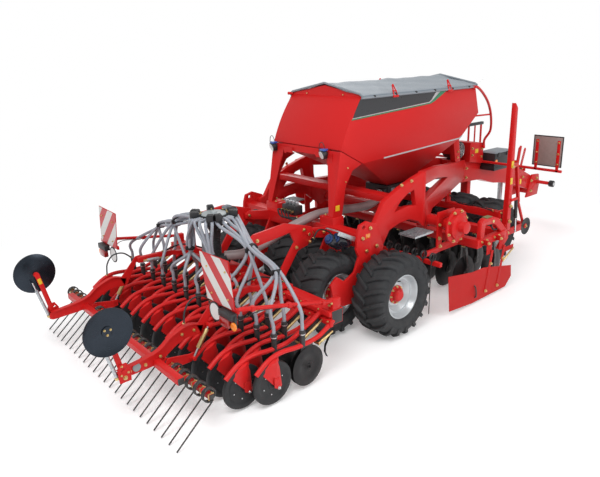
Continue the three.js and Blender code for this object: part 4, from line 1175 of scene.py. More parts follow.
def rearCurve(steps=8):
    (y0, z0), (y1, z1) = hopper["outline"][:2]
    length = math.hypot(y1 - y0, z1 - z0)
    away = (-(z0 - z1) / length, (y0 - y1) / length)
    line = []
    for step in range(steps + 1):
        t = step / steps
        swell = hopper["bulge"] * 4 * t * (1 - t)
        line.append((y0 + (y1 - y0) * t + away[0] * swell, z0 + (z1 - z0) * t + away[1] * swell))
    return line


def hopperShell():
    line = rearCurve() + hopper["outline"][2:]
    count = len(line)
    shell = bmesh.new()
    right, left = ([shell.verts.new((hand * hopper["half"], y, z)) for y, z in line] for hand in (1, -1))
    shell.faces.new(right)
    shell.faces.new(left[::-1])
    for step in range(count - 1):
        if step != count - 4:  # left open between the slopes, above the funnel
            shell.faces.new((right[step], left[step], left[step + 1], right[step + 1]))
    mouth = [shell.verts.new((x, y, hopper["outletZ"])) for x, y in hopper["outlet"]]
    top = [right[count - 4], right[count - 3], left[count - 3], left[count - 4]]
    for step in range(4):
        after = (step + 1) % 4
        shell.faces.new((top[step], top[after], mouth[after], mouth[step]))
    bmesh.ops.recalc_face_normals(shell, faces=shell.faces)
    centre = Vector((0, 1.2, 2.1))
    if sum((face.calc_center_median() - centre).dot(face.normal) for face in shell.faces) < 0:
        bmesh.ops.reverse_faces(shell, faces=shell.faces)
    bmesh.ops.solidify(shell, geom=shell.faces[:], thickness=hopper["sheet"])
    bmesh.ops.recalc_face_normals(shell, faces=shell.faces)
    roundOff(shell, 0.0025, 2, 20)
    return shell


def makeHopper():
    half, rimZ = hopper["half"], hopper["rim"]
    part = bmesh.new()
    pour(part, hopperShell())
    # gables under the cover, a fold below each, and lips round the rim
    for y, outward in hopper["gables"]:
        gable = [(-half, rimZ - 0.03), (half, rimZ - 0.03), (half, rimZ + 0.008),
                 (0.0, rimZ + hopper["ridge"] - 0.004), (-half, rimZ + 0.008)]
        addPanel(part, gable, y, y + outward * 0.006, 0, 0.0015)
        addBlock(part, (-half + 0.01, y, rimZ - 0.052), (half - 0.01, y + outward * 0.016, rimZ - 0.026), 0, 0.005)
    for hand in (-1, 1):
        addBlock(part, (hand * half, 0.262, rimZ - 0.022), (hand * (half + 0.008), 2.4, rimZ - 0.002))
        for name, look, bevel in (("strip", 3, 0.0005), ("dark", 1, 0.0), ("grey", 3, 0.0), ("green", 2, 0.0)):
            addPlate(part, [hopper[name]], hand * (half + 0.0005), hand * (half + 0.003), look, bevel)
        rimBolts = [(hand * (half + 0.008), y, rimZ - 0.012) for y in (0.5, 1.1, 1.7, 2.25)]
        addBolts(part, rimBolts, (hand, 0, 0), 8, 4)
        addRod(part, (hand * 0.3, 0.25, rimZ + 0.01), (hand * 0.3, 0.238, rimZ + 0.01), 0.008, 4, 10)
    newPiece("hopper_shell", part, "chassis", [hopperPaint, bannerDark, bannerGreen, bannerGrey, goldZinc],
             ["hopper"], smooth=25)


cover = {
    "rim": 2.449,
    "ends": (0.235, 2.43),
    "columns": 22,
    "rows": 44,
    "ripples": [(0.0035, 0.9, 0.55, 0.0), (0.003, 0.37, -1.1, 1.3)],  # height, per row, per column, start
    "sag": 0.007,
    "hooks": (0.78, 1.82),
}


def makeCover():
    half, rimZ, rise = hopper["half"], cover["rim"], hopper["ridge"]
    y0, y1 = cover["ends"]
    hem = [(half + 0.011, rimZ - 0.036), (half + 0.011, rimZ + 0.004), (half * 0.97, rimZ + 0.014)]
    across = [(-x, z) for x, z in hem]
    for step in range(1, cover["columns"]):
        t = -1 + 2 * step / cover["columns"]
        across.append((half * 0.97 * t, rimZ + 0.014 + rise * (1 - abs(t)) - 0.006 * (1 - (2 * abs(t) - 1) ** 2)))
    across += hem[::-1]
    rows = cover["rows"]
    part = bmesh.new()
    grid = []
    for row in range(rows + 1):
        line = []
        for column, (x, z) in enumerate(across):
            lift = sum(height * math.sin(row * perRow + column * perColumn + start)
                       for height, perRow, perColumn, start in cover["ripples"])
            lift -= cover["sag"] * math.sin(math.pi * ((row / rows * 4) % 1.0)) * (1 - abs(x) / half)
            inside = 2 < column < len(across) - 3
            line.append(part.verts.new((x, y0 + (y1 - y0) * row / rows, z + (lift if inside else 0.0))))
        grid.append(line)
    for first, second in zip(grid, grid[1:]):
        for column in range(len(across) - 1):
            part.faces.new((first[column], first[column + 1], second[column + 1], second[column]))
    bmesh.ops.recalc_face_normals(part, faces=part.faces)
    bmesh.ops.solidify(part, geom=part.faces[:], thickness=0.003)
    cloth = newPiece("hopper_tarpaulin", part, "chassis", [coverCloth], ["hopper_cover"], smooth=60)
    # rods in the hems, with their knobs
    part = bmesh.new()
    for y in (y0 + 0.008, y1 - 0.008):
        gable = [(-half - 0.012, y, rimZ + 0.002), (-half * 0.97, y, rimZ + 0.02), (0.0, y, rimZ + rise + 0.016),
                 (half * 0.97, y, rimZ + 0.02), (half + 0.012, y, rimZ + 0.002)]
        for start, end in zip(gable, gable[1:]):
            addRod(part, start, end, 0.013, 0, 12)
        for place in gable:
            addBall(part, place, 0.013)
    for hand in (-1, 1):
        x = hand * (half + 0.016)
        addRod(part, (x, y0, rimZ - 0.022), (x, y1, rimZ - 0.022), 0.012, 0, 12, round=0.003)
        for y in [y0 + 0.2 + row * 0.36 for row in range(6)]:
            addRod(part, (x - hand * 0.004, y, rimZ - 0.012), (x + hand * 0.014, y, rimZ - 0.012), 0.012, 1, 12)
    trim = newPiece("cover_edges", part, "chassis", [greyPlastic, blackPlastic])
    # hooks over the long sides, a knob at the rear and a bent rod at the front
    part = bmesh.new()
    for hand in (-1, 1):
        x = hand * (half + 0.03)
        top = x - hand * 0.05
        low, high = sorted((x, top))
        for y in cover["hooks"]:
            for side in (-0.034, 0.034):
                addBar(part, (x, y + side, rimZ - 0.03), (top, y + side * 0.25, rimZ + 0.085), 0.012, 0.012, 0, 0.002)
            addBlock(part, (low + 0.012, y - 0.024, rimZ + 0.018), (high - 0.008, y + 0.024, rimZ + 0.03), 0, 0.002)
            addBlock(part, (x - 0.008, y - 0.045, rimZ - 0.045), (x + 0.008, y + 0.045, rimZ - 0.022), 0, 0.002)
            addBall(part, (top, y, rimZ + 0.085), 0.014)
    addRod(part, (-half + 0.015, 0.25, rimZ - 0.004), (-half - 0.045, 0.215, rimZ - 0.004), 0.018, 0, 12, round=0.003)
    addRod(part, (half - 0.02, 2.44, rimZ - 0.01), (half + 0.06, 2.53, rimZ + 0.09), 0.003, 1, 8)
    holders = newPiece("cover_hooks", part, "chassis", [redPaint, steelPin])


legs = {
    "foot": [(0.44, -0.18, 1.19), (0.55, -0.18, 1.19), (0.44, -0.08, 1.19), (0.55, -0.08, 1.19)],
    "gusset": [(0.36, 1.83), (0.4, 1.70), (0.43, 1.62), (0.47, 1.6), (0.47, 1.86), (0.2, 1.86), (0.2, 1.8),
               (0.3, 1.8), (0.34, 1.78)],
    "side": [(0.03, 1.70), (0.0, 1.55)],
    "lamps": (-0.5, 0.375),
    "lampParts": [(0.0, 0.045, 0.036, 0.05, 3, 0.003), (0.045, 0.066, 0.052, 0.052, 3, 0.003),
                  (0.064, 0.07, 0.044, 0.044, 5, 0.0)],
    "lead": [(0, -0.11, 1.9), (-0.03, -0.12, 1.97), (-0.1, -0.1, 1.95), (-0.12, -0.095, 1.86)],
}


def makeLegs():
    part = softened("hopper_legs_rear", 0.003)
    bothHands(part, 0.576, legs["side"], 8)
    for hand in (-1, 1):
        addBolts(part, [onHand(hand, place) for place in legs["foot"]], (0, 0, 1), 12)
        # gusset between leg and yoke, as pressed sheet
        addPanel(part, [(hand * x, z) for x, z in legs["gusset"]], -0.098, -0.092, 0, 0.0)
        addBlock(part, (hand * 0.578 - 0.003, -0.16, 1.25), (hand * 0.578 + 0.001, -0.1, 1.31), 2, 0.0)
    # work lamps with a lead each
    for x in legs["lamps"]:
        turn = turnTo((x, -0.095, 1.862), (x - 0.02, -0.17, 1.835))
        for low, high, radius, mouth, look, bevel in legs["lampParts"]:
            addRod(part, turn @ Vector((0, 0, low)), turn @ Vector((0, 0, high)), radius, look, 20, mouth, bevel)
        # blue top of each lamp, with a painted glow
        addBlock(part, (x - 0.035, -0.165, 1.888), (x + 0.035, -0.1, 1.912), 4, 0.005)
        addBlock(part, (x - 0.02, -0.125, 1.8), (x + 0.02, -0.085, 1.84), 3)
        addTubes(part, [smoothLine([(x + out, y, z) for out, y, z in legs["lead"]], 18)], 0.004, 3, 2)
    looks = [hopperPaint, goldZinc, stickerYellow, blackPlastic, blueLampTopPaintedGlow, signWhite]
    newPiece("rear_legs", part, "chassis", looks, ["hopper_legs_rear"])
    part = softened("hopper_legs_front", 0.003)
    bothHands(part, 0.33, [(2.45, 1.46), (2.45, 1.54)], 12)
    newPiece("front_legs", part, "chassis", [hopperPaint, goldZinc], ["hopper_legs_front"])


makeHopper()
makeCover()
makeLegs()
print("hopper, cover and legs made")

# ---- seeding gear on the frame

fan = {"place": (2.82, 1.49), "rings": (0.03, 0.055, 0.08, 0.105), "wire": 0.0025}
box = {
    "lid": [(0.121, 3.361), (0.377, 3.361), (0.377, 3.806), (0.121, 3.806)],
    "lidTop": [(0.15, 3.4), (0.345, 3.4), (0.345, 3.766), (0.15, 3.766)],
    "heights": (1.393, 1.422),
}
rail = [(0.599, 2.35, 2.425), (0.599, 2.43, 2.415), (0.54, 2.671, 2.314), (0.47, 2.924, 2.16),
        (0.38, 3.156, 1.956), (0.3, 3.29, 1.744), (0.214, 3.29, 1.6), (0.214, 3.29, 1.48)]


def makeSmallUnits():
    part = softened("metering_unit", 0.008)
    for y in [1.19 + row * 0.1 for row in range(4)]:
        addBlock(part, (0.2, y, 1.1), (0.215, y + 0.07, 1.22), 1, 0.004)
    addRod(part, (0.2, 1.53, 1.14), (0.26, 1.53, 1.14), 0.045, 2, 20, round=0.004)
    addRod(part, (-0.26, 1.4, 1.15), (-0.2, 1.4, 1.15), 0.06, 2, 20, round=0.004)
    addRod(part, (0.105, 1.108, 1.145), (0.105, 1.085, 1.145), 0.06, 2, 20, round=0.003)
    newPiece("metering", part, "chassis", [blackPlastic, greyPlastic, steelPin], ["metering_unit"])
    part = softened("fan_housing", 0.006)
    y, z = fan["place"]
    for hand in (-1, 1):
        for radius in fan["rings"]:
            grille = [(hand * 0.118, a, b) for a, b in circle(y, z, radius, 24)]
            addTubes(part, [grille + grille[:1]], fan["wire"], 1, 1)
        for a, b in circle(y, z, 0.11, 6):
            addRod(part, (hand * 0.116, y, z), (hand * 0.116, a, b), fan["wire"], 1, 6)
    newPiece("fan", part, "chassis", [blackPlastic, steelPin], ["fan_housing"])
    part = softened("front_support")
    bothHands(part, 0.19, ((3.02, 1.5), (3.02, 1.4), (3.27, 1.47), (3.27, 1.35)))
    for x in (-0.191, 0.191):
        addBlock(part, (x - 0.001, 3.1, 1.42), (x + 0.001, 3.18, 1.48), 2, 0.0)
    newPiece("support_block", part, "chassis", [redPaint, goldZinc, stickerYellow], ["front_support"])
    part = softened("toolbox", 0.012)
    lid = bmesh.new()
    outlines = zip((box["lid"], box["lidTop"]), box["heights"])
    corners = [lid.verts.new((x, y, z)) for outline, z in outlines for x, y in outline]
    for face in ((0, 1, 5, 4), (1, 2, 6, 5), (2, 3, 7, 6), (3, 0, 4, 7), (4, 5, 6, 7), (3, 2, 1, 0)):
        lid.faces.new([corners[index] for index in face])
    bmesh.ops.recalc_face_normals(lid, faces=lid.faces)
    roundOff(lid, 0.006)
    pour(part, lid, 1)
    for y in (3.46, 3.7):
        addBlock(part, (0.362, y - 0.03, 1.34), (0.381, y + 0.03, 1.4), 0, 0.004)
    # orange lens on the locker, with a painted glow
    addRod(part, (0.355, 3.41, 1.27), (0.368, 3.41, 1.27), 0.03, 2, 20)
    newPiece("tool_locker", part, "chassis", [blackPlastic, greyPlastic, orangeLensPaintedGlow], ["toolbox"])
    part = bmesh.new()
    addTubes(part, [smoothLine(rail, 60)], 0.0175, 0, 4)
    addRod(part, (0.4, 3.11, 2.0), (0.3, 2.6, 2.0), 0.012, 0, 12)
    addBlock(part, (0.5755, 2.33, 2.4), (0.6, 2.378, 2.444))
    addBlock(part, (0.1905, 3.268, 1.472), (0.222, 3.312, 1.516))
    newPiece("hand_rail", part, "chassis", [redPaint], ["handrail"])
    # ladder grips at the left of the drawbar
    part = bmesh.new()
    for y, low, radius, sides in ((3.5, 1.3, 0.016, 14), (3.84, 1.3, 0.016, 14), (3.67, 1.36, 0.012, 14)):
        addRod(part, (-0.2, y, low), (-0.2, y, 1.75), radius, 0, sides)
    addBlock(part, (-0.225, 3.46, 1.745), (-0.175, 3.88, 1.79), 1, 0.01)
    addBlock(part, (-0.22, 3.46, 1.4), (-0.18, 3.88, 1.44), 0, 0.004)
    addBlock(part, (-0.215, 3.48, 1.14), (-0.115, 3.86, 1.32), 0, 0.004)
    newPiece("ladder_grips", part, "chassis", [redPaint, blackPlastic])


makeSmallUnits()
print("small units made")

# ---- rear warning boards

board = {
    "leftShift": 0.12,
    "y": -2.0,
    "face": [(0.796, 1.309), (1.227, 1.322), (1.285, 0.905), (0.87, 0.897)],
    "back": [(0.79, 1.315), (1.233, 1.328), (1.292, 0.899), (0.864, 0.891)],
    "bolts": [(0.9, 1.2), (1.18, 1.22), (1.2, 0.98), (0.95, 0.97)],
    "sign": (0.981, 0.805, 0.088),
    "signParts": [(-0.006, -0.002, 0.088, 3), (-0.0062, -0.0001, 0.09, 5), (-0.0075, -0.003, 0.07568, 3)],
    "blocks": [  # low and high corners, with Y from the board, look and bevel
        ((0.86, 0.004, 0.885), (1.32, 0.024, 0.925), 0, 0.003), ((1.0, 0.004, 0.92), (1.04, 0.018, 1.25), 0, 0.003),
        ((0.966, 0, 0.79), (0.996, 0.014, 0.9), 0, 0.002), ((1.1, -0.05, 0.825), (1.29, 0.012, 0.885), 5, 0.005),
        ((1.115, -0.056, 0.745), (1.245, -0.006, 0.83), 4, 0.01),
        ((1.262, -0.02, 0.75), (1.3, 0.004, 0.86), 5, 0.003),
    ],
    "lead": [(1.2, 0, 0.83), (1.26, 0.05, 0.8), (1.34, 0.2, 0.86), (1.36, 0.45, 0.82)],
}


def warningBoard(shift):
    # striped board with its lamp and blank round sign, moved out by the shift, on a tube from the coulter bar
    y = board["y"]
    part = bmesh.new()
    addPanel(part, board["face"], y - 0.004, y, 1, 0.0)
    addPanel(part, board["back"], y + 0.0005, y + 0.004, 0, 0.001)
    addBolts(part, [(x, y - 0.004, z) for x, z in board["bolts"]], (0, -1, 0), 8, 2)
    x, z, radius = board["sign"]
    for near, far, radius, look in board["signParts"]:
        addRod(part, (x, y + near, z), (x, y + far, z), radius, look, 32)
    for (x0, y0, z0), (x1, y1, z1), look, bevel in board["blocks"]:
        addBlock(part, (x0, y + y0, z0), (x1, y + y1, z1), look, bevel)
    # orange lens on the board, with a painted glow
    addRod(part, (1.29, y - 0.02, 0.775), (1.29, y - 0.034, 0.775), 0.037, 6, 24, round=0.003)
    bmesh.ops.translate(part, verts=part.verts, vec=(shift, 0, 0))
    root, tip = Vector((1.33, y + 0.02, 0.93)), Vector((1.425, -1.03, 0.735))
    addRod(part, root, tip, 0.018, round=0.002)
    addRod(part, (1.27, y + 0.016, 0.9), (1.345, y + 0.016, 0.94), 0.016, 0, 14, round=0.002)
    addBlock(part, (1.388, -1.05, 0.652), (1.446, -0.95, 0.755), 0, 0.004)
    addBolts(part, [(1.4, -1.05, 0.69), (1.43, -1.05, 0.72)], (0, -1, 0), 12, 2)
    collar = Vector((0.022, 0.02, 0.022))
    for place in (root.lerp(tip, share) for share in (0.12, 0.5, 0.88)):
        addBlock(part, place - collar, place + collar)
    addTubes(part, [smoothLine([(x, y + away, z) for x, away, z in board["lead"]], 30)], 0.004, 5, 2)
    return part


def makeRearBoards():
    left = mirroredCopy(warningBoard(board["leftShift"]))
    for side, part, bands in (("right", warningBoard(0.0), stripesRight), ("left", left, stripesLeft)):
        looks = [redPaint, bands, goldZinc, signWhite, lampRed, blackPlastic, orangeLensPaintedGlow]
        newPiece("warning_board_" + side, part, "seed_bar_group", looks, ["rear_board_" + side])


makeRearBoards()
print("rear boards made")

# ---- harrow and row markers

harrow = {
    "pivot": (-1.86, 0.8),
    "plateX": (0.7753, 0.7913),
    "plateTop": [(-2.02, 0.62), (-2.1, 0.652), (-2.18, 0.664), (-2.27, 0.652), (-2.35, 0.61), (-2.42, 0.56),
                 (-2.5, 0.52), (-2.62, 0.497), (-2.75, 0.488), (-2.85, 0.474)],
    "plateLow": [(-2.862, 0.44), (-2.84, 0.402), (-2.7, 0.402), (-2.58, 0.404), (-2.46, 0.42), (-2.38, 0.468),
                 (-2.29, 0.52), (-2.2, 0.548), (-2.12, 0.546), (-2.05, 0.54)],
    "link": [(-1.825, 0.77), (-1.822, 0.82), (-1.84, 0.838), (-1.89, 0.836), (-2.09, 0.63), (-2.05, 0.535),
             (-2.02, 0.55), (-1.89, 0.77)],
    "band": [(-2.04, 0.63), (-2.18, 0.668), (-2.35, 0.614), (-2.5, 0.524), (-2.84, 0.48)],
    "carrier": [(-2.14, 0.4), (-2.2, 0.4), (-2.4, 0.44), (-2.43, 0.4), (-2.42, 0.32), (-2.2, 0.32), (-2.14, 0.33)],
    "bolts": [(-2.12, 0.6), (-2.24, 0.6), (-2.46, 0.475), (-2.6, 0.45), (-2.74, 0.445)],
    "hose": [(0.8, -1.93, 0.83), (0.805, -2.02, 0.9), (0.81, -2.13, 0.9), (0.81, -2.2, 0.82), (0.805, -2.22, 0.7)],
    "buckle": ((0.83, -1.99, 0.62), (0.83, -2.17, 0.36)),
    "bar": (-2.385, 0.36),
    "barRuns": ((-1.46, -0.5), (-0.49, 0.49), (0.5, 1.46)),
    "tube": (-2.5, 0.43),
    "coil": 0.057,
    "turns": 2.75,
    "perTurn": 14,
    "wire": 0.0067,
    "tip": (-2.715, 0.009),
}


def across(target, reach, place, half, look=0, round=0.003):
    # square bar along X, from one reach to the other, with its middle at a (y, z) place
    (x0, x1), (y, z) = reach, place
    addBlock(target, (x0, y - half, z - half), (x1, y + half, z + half), look, round)


def makeHarrow():
    part = bmesh.new()
    x0, x1 = harrow["plateX"]
    blade = [(point.x, point.y) for edge in ("plateTop", "plateLow")
             for point in smoothLine([(y, z, 0) for y, z in harrow[edge]], 30)]
    link = [harrow["link"], circle(*harrow["pivot"], 0.0147)]
    barY, barZ = harrow["bar"]
    bothHands(part, x1 + 0.0005, harrow["bolts"], 12)
    for hand in (-1, 1):
        addPlate(part, [blade], hand * x0, hand * x1, 0, 0.003)
        addPlate(part, link, hand * x0, hand * x1)
        middle, outer = hand * (x0 + x1) / 2, hand * (x1 + 0.0005)
        # cover band along the sickle plate's top edge
        top = smoothLine([(middle, y, z) for y, z in harrow["band"]], 20)
        for start, end in zip(top, top[1:]):
            addBar(part, start, end, 0.05, 0.008, 0, 0.0)
        # turnbuckle between the link and the coil bar
        start, end = (onHand(hand, place) for place in harrow["buckle"])
        addRod(part, start, end, 0.01, 2, 12)
        addRod(part, start.lerp(end, 0.12), start.lerp(end, 0.7), 0.021, 1, 16, round=0.002)
        for place in (start, end):
            addRod(part, place - Vector((0.03, 0, 0)), place + Vector((0.03, 0, 0)), 0.018, 0, 14, round=0.002)
        addRod(part, (outer, *start[1:]), (hand * 0.85, *start[1:]), 0.012, 1, 12)
        addPlate(part, [harrow["carrier"]], hand * 0.8, hand * 0.812, 0, 0.003)
        addRod(part, (hand * x0, -2.3, 0.37), (hand * 0.81, -2.3, 0.37), 0.014, 0, 12)
        addRod(part, (outer, -2.68, 0.458), (outer + hand * 0.006, -2.68, 0.458), 0.036, 3, 24)
        hydraulicHose(part, [onHand(hand, place) for place in harrow["hose"]], 0.008, 4)
        # hanger of the coil bar, and end cap of the tube
        addBar(part, (middle, -2.45, 0.43), (middle, barY, barZ + 0.035), 0.016, 0.05, 0, 0.002)
        across(part, (hand * 1.196, hand * 1.212), harrow["tube"], 0.027, 4, 0.004)
    across(part, (-1.2, 1.2), harrow["tube"], 0.03, 0, 0.005)
    newPiece("harrow_arms", part, "harrow_group", [redPaint, goldZinc, steelPin, headPlate, blackPlastic],
             ["harrow_frame"])
    part = bmesh.new()
    for reach in harrow["barRuns"]:
        across(part, reach, harrow["bar"], 0.022, 1, 0.004)
    for hand in (-1, 1):
        across(part, (hand * 1.459, hand * 1.466), harrow["bar"], 0.021, 0, 0.002)
    steps = harrow["turns"] * harrow["perTurn"]
    coils = []
    for x in (coulterX(index) for index in range(coulter["count"])):
        line = [Vector((x - 0.05, barY + 0.02, barZ + 0.026)), Vector((x - 0.046, barY + 0.035, barZ + 0.035))]
        for step in range(int(steps) + 1):
            angle = math.radians(40) + 2 * math.pi * step / harrow["perTurn"]
            line.append(Vector((x - 0.042 + 0.042 * step / steps, barY + harrow["coil"] * math.cos(angle),
                                barZ + harrow["coil"] * math.sin(angle))))
        tip = Vector((x + 0.002, *harrow["tip"]))
        coils.append(line + [line[-1].lerp(tip, 0.06), tip])
        for at in (x - 0.056, x + 0.012):
            across(part, (at - 0.007, at + 0.007), harrow["bar"], 0.027, 2)
            addBolt(part, (at, barY + 0.008, barZ + 0.026), (0, 0, 1), 8, 2)
    addTubes(part, coils, harrow["wire"], 0, 2)
    newPiece("coil_tines", part, "harrow_group", [springBlack, redPaint, goldZinc], ["harrow_tines"])


marker = {
    "x": 0.8213,
    "foot": (-2.8, 0.43),
    "disc": (-2.905, 0.89),
    "slots": [[(-0.05, 0.39), (0.05, 0.39), (0.055, 0.5), (0.02, 0.56), (-0.04, 0.56), (-0.06, 0.5)],
              [(-0.035, 0.49), (-0.028, 0.5), (0.02, 0.525), (0.026, 0.515)]],
    "bolts": [(-0.03, 0.46), (0.03, 0.47), (-0.02, 0.54)],
    "cylinder": ((-2.862, 0.45), (-2.937, 0.74)),
    "blade": [(0.0, 0.008), (0.04, 0.008), (0.09, 0.012), (0.14, 0.019), (0.18, 0.026), (0.2, 0.033),
              (0.2, 0.029), (0.18, 0.021), (0.14, 0.013), (0.09, 0.006), (0.04, 0.001), (0.0, 0.0)],
}


def makeRowMarkers():
    x = marker["x"]
    (footY, footZ), (discY, discZ) = marker["foot"], marker["disc"]
    part = bmesh.new()
    addRod(part, (0.7918, footY, footZ), (x + 0.014, footY, footZ), 0.022, 1, 16, round=0.002)
    addBolt(part, (x + 0.012, footY, footZ), (1, 0, 0))
    addBar(part, (x, footY, footZ - 0.02), (x, discY, discZ + 0.01), 0.016, 0.046, 0, 0.004)
    slots = [[(footY + y, z) for y, z in loop] for loop in marker["slots"]]
    addPlate(part, slots, x + 0.009, x + 0.015, 0, 0.001)
    addBolts(part, [(x + 0.015, footY + y, z) for y, z in marker["bolts"]], (1, 0, 0), 8)
    # cylinder that swings the arm, on the inner side
    start, end = (Vector((x - 0.012, *place)) for place in marker["cylinder"])
    addRod(part, start, end, 0.016, 2, 14, round=0.002)
    addRod(part, end, end + (end - start) * 0.3, 0.008, 3, 10)
    addRod(part, start, start - (end - start) * 0.08, 0.02, 1, 12, round=0.002)
    addRod(part, (x, discY, discZ), (x + 0.03, discY, discZ), 0.026, 0, 16, round=0.002)
    along = Vector((0, discY - footY, discZ - footZ)).normalized()
    for face in (-0.0085, 0.0085):
        edge = Vector((x + face, footY, footZ))
        addBar(part, edge + along * 0.37, edge + along * 0.43, 0.002, 0.034, 4, 0.0)
    newPair("marker_arm", part, "row_marker", [redPaint, goldZinc, galvanised, steelPin, stickerYellow],
            "row_marker_arm")
    part = bmesh.new()
    pour(part, spun(marker["blade"], 56))
    addRod(part, (0.004, 0, 0), (0.016, 0, 0), 0.045, 0, 24, round=0.002)
    hub = [(0.016, 0.028 * math.cos(angle), 0.028 * math.sin(angle)) for angle in around(3, 0.4)]
    addBolts(part, hub, (1, 0, 0), 8)
    bmesh.ops.translate(part, verts=part.verts, vec=(x + 0.0305, discY, discZ))
    steel = discMaterial("row_marker_steel", discY + axleY, discZ)
    newPair("marker_disc", part, "row_marker_blade", [steel, goldZinc], "row_marker_disc")


makeHarrow()
makeRowMarkers()
print("harrow and row markers made")

# ---- frames, discs, guards and track markers

roller = {
    "outer": [(-0.09, 1.14), (-0.205, 1.05), (0.013, 0.92), (-0.144, 0.9)],
    "pivot": [(-0.47, 1.07), (-0.3, 1.04)],
    "hose": [(0.62, -0.25, 1.0), (0.6, -0.3, 1.06), (0.585, -0.42, 1.1), (0.58, -0.5, 1.02)],
}


def makeRollerFrame():
    part = softened("roller_frame")
    bothHands(part, 1.008, roller["outer"], 22)
    bothHands(part, 0.53, roller["pivot"], 16)
    for hand in (-1, 1):
        # orange lens on each side of the beam, with a painted glow
        addBlock(part, (hand * 1.008, -0.15, 1.032), (hand * 1.016, -0.082, 1.082), 2, 0.004)
        addRod(part, (hand * 0.48, -0.55, 1.08), (hand * 0.583, -0.55, 1.08), 0.017, 1, 20, round=0.002)
        addBlock(part, (hand * 0.75 - 0.03, -0.246, 0.99), (hand * 0.75 + 0.03, -0.24, 1.03), 3, 0.002)
        hydraulicHose(part, [onHand(hand, place) for place in roller["hose"]], 0.009, 4)
    # valve block on the beam, with its hoses
    addBlock(part, (-0.28, -0.22, 1.088), (-0.04, -0.1, 1.2), 5, 0.008)
    for index in range(4):
        x = -0.25 + index * 0.06
        addRod(part, (x, -0.16, 1.2), (x, -0.16, 1.245), 0.02, 6, 14, round=0.002)
        addRod(part, (x, -0.222, 1.14), (x, -0.25, 1.14), 0.014, 1, 10)
        line = [(x, -0.25, 1.14), (x + 0.03, -0.33, 1.16), (x + 0.14, -0.36, 1.1), (x + 0.3, -0.26, 1.1)]
        hydraulicHose(part, line, 0.009, 4)
    looks = [redPaint, goldZinc, orangeLensPaintedGlow, stickerYellow, hoseRubber, blackPlastic, galvanised]
    newPiece("roller_beam", part, "chassis", looks, ["roller_frame"])


mainFrame = {
    "dome": [(0.0, 0.03), (0.06, 0.026), (0.11, 0.014), (0.14, 0.0), (0.0, 0.0)],
    "drum": (1.06, 0.97),
    "drumRing": 0.178,
    "archBolts": [(0.45, 1.5), (0.62, 1.52)],
    "bolts": [(2.115, 0.9), (2.185, 0.9), (2.115, 0.81), (2.185, 0.81)],
    "hose": [(1.15, 2.1, 0.91), (0.9, 2.12, 0.925), (0.6, 2.14, 0.915), (0.42, 2.16, 1.0)],
}


def makeMainFrame():
    part = softened("main_frame")
    for hand in (-1, 1):
        # domed end of the cross drum, with its ring of bolts
        cap = asMesh(spun(mainFrame["dome"], 36))
        stamp(part, cap, Matrix.Translation((hand * 1.344, *mainFrame["drum"])) @ Matrix.Scale(hand, 4, (1, 0, 0)))
        y, z = mainFrame["drum"]
        for angle in around(8, math.pi / 8):
            ring = mainFrame["drumRing"]
            addBolt(part, (hand * 1.31, y + ring * math.cos(angle), z + ring * math.sin(angle)), (hand, 0, 0))
        addBolts(part, [(hand * 0.98, *place) for place in mainFrame["archBolts"]], (hand, 0, 0))
        addBolts(part, [(hand * 1.24, *place) for place in mainFrame["bolts"]], (hand, 0, 0), 14)
        addRod(part, (hand * 1.3, 2.075, 0.72), (hand * 1.3, 2.225, 0.72), 0.014, 1, 16, round=0.002)
        # step grating beside the arch
        for index in range(9):
            x = hand * (0.985 + index * 0.028)
            addBlock(part, (x - 0.002, 0.42, 0.94), (x + 0.002, 0.75, 0.962), 3, 0.0)
        for index in range(7):
            y = 0.425 + index * 0.053
            addBlock(part, (hand * 0.98, y - 0.002, 0.942), (hand * 1.212, y + 0.002, 0.96), 3, 0.0)
        hydraulicHose(part, [onHand(hand, place) for place in mainFrame["hose"]], 0.009, 2)
    newPiece("side_frames", part, "chassis", [redPaint, goldZinc, hoseRubber, galvanised], ["main_frame"])


drawbar = {
    "bolts": [(3.0, 1.2), (3.0, 1.06), (4.3, 0.95), (4.7, 0.8)],
    "hose": [(0.06, 3.9, 1.15), (0.06, 4.2, 1.1), (0.05, 4.5, 1.02), (0.04, 4.75, 0.92)],
    "holders": [((4.63, 0.99), (4.684, 1.297), 0.03), ((4.87, 0.9), (4.991, 1.242), -0.03)],  # foot, top, X
    "hitchBolts": [(4.95, 0.7), (4.95, 0.52), (5.12, 0.72)],
    "hitchPin": (5.15, 0.65),
}


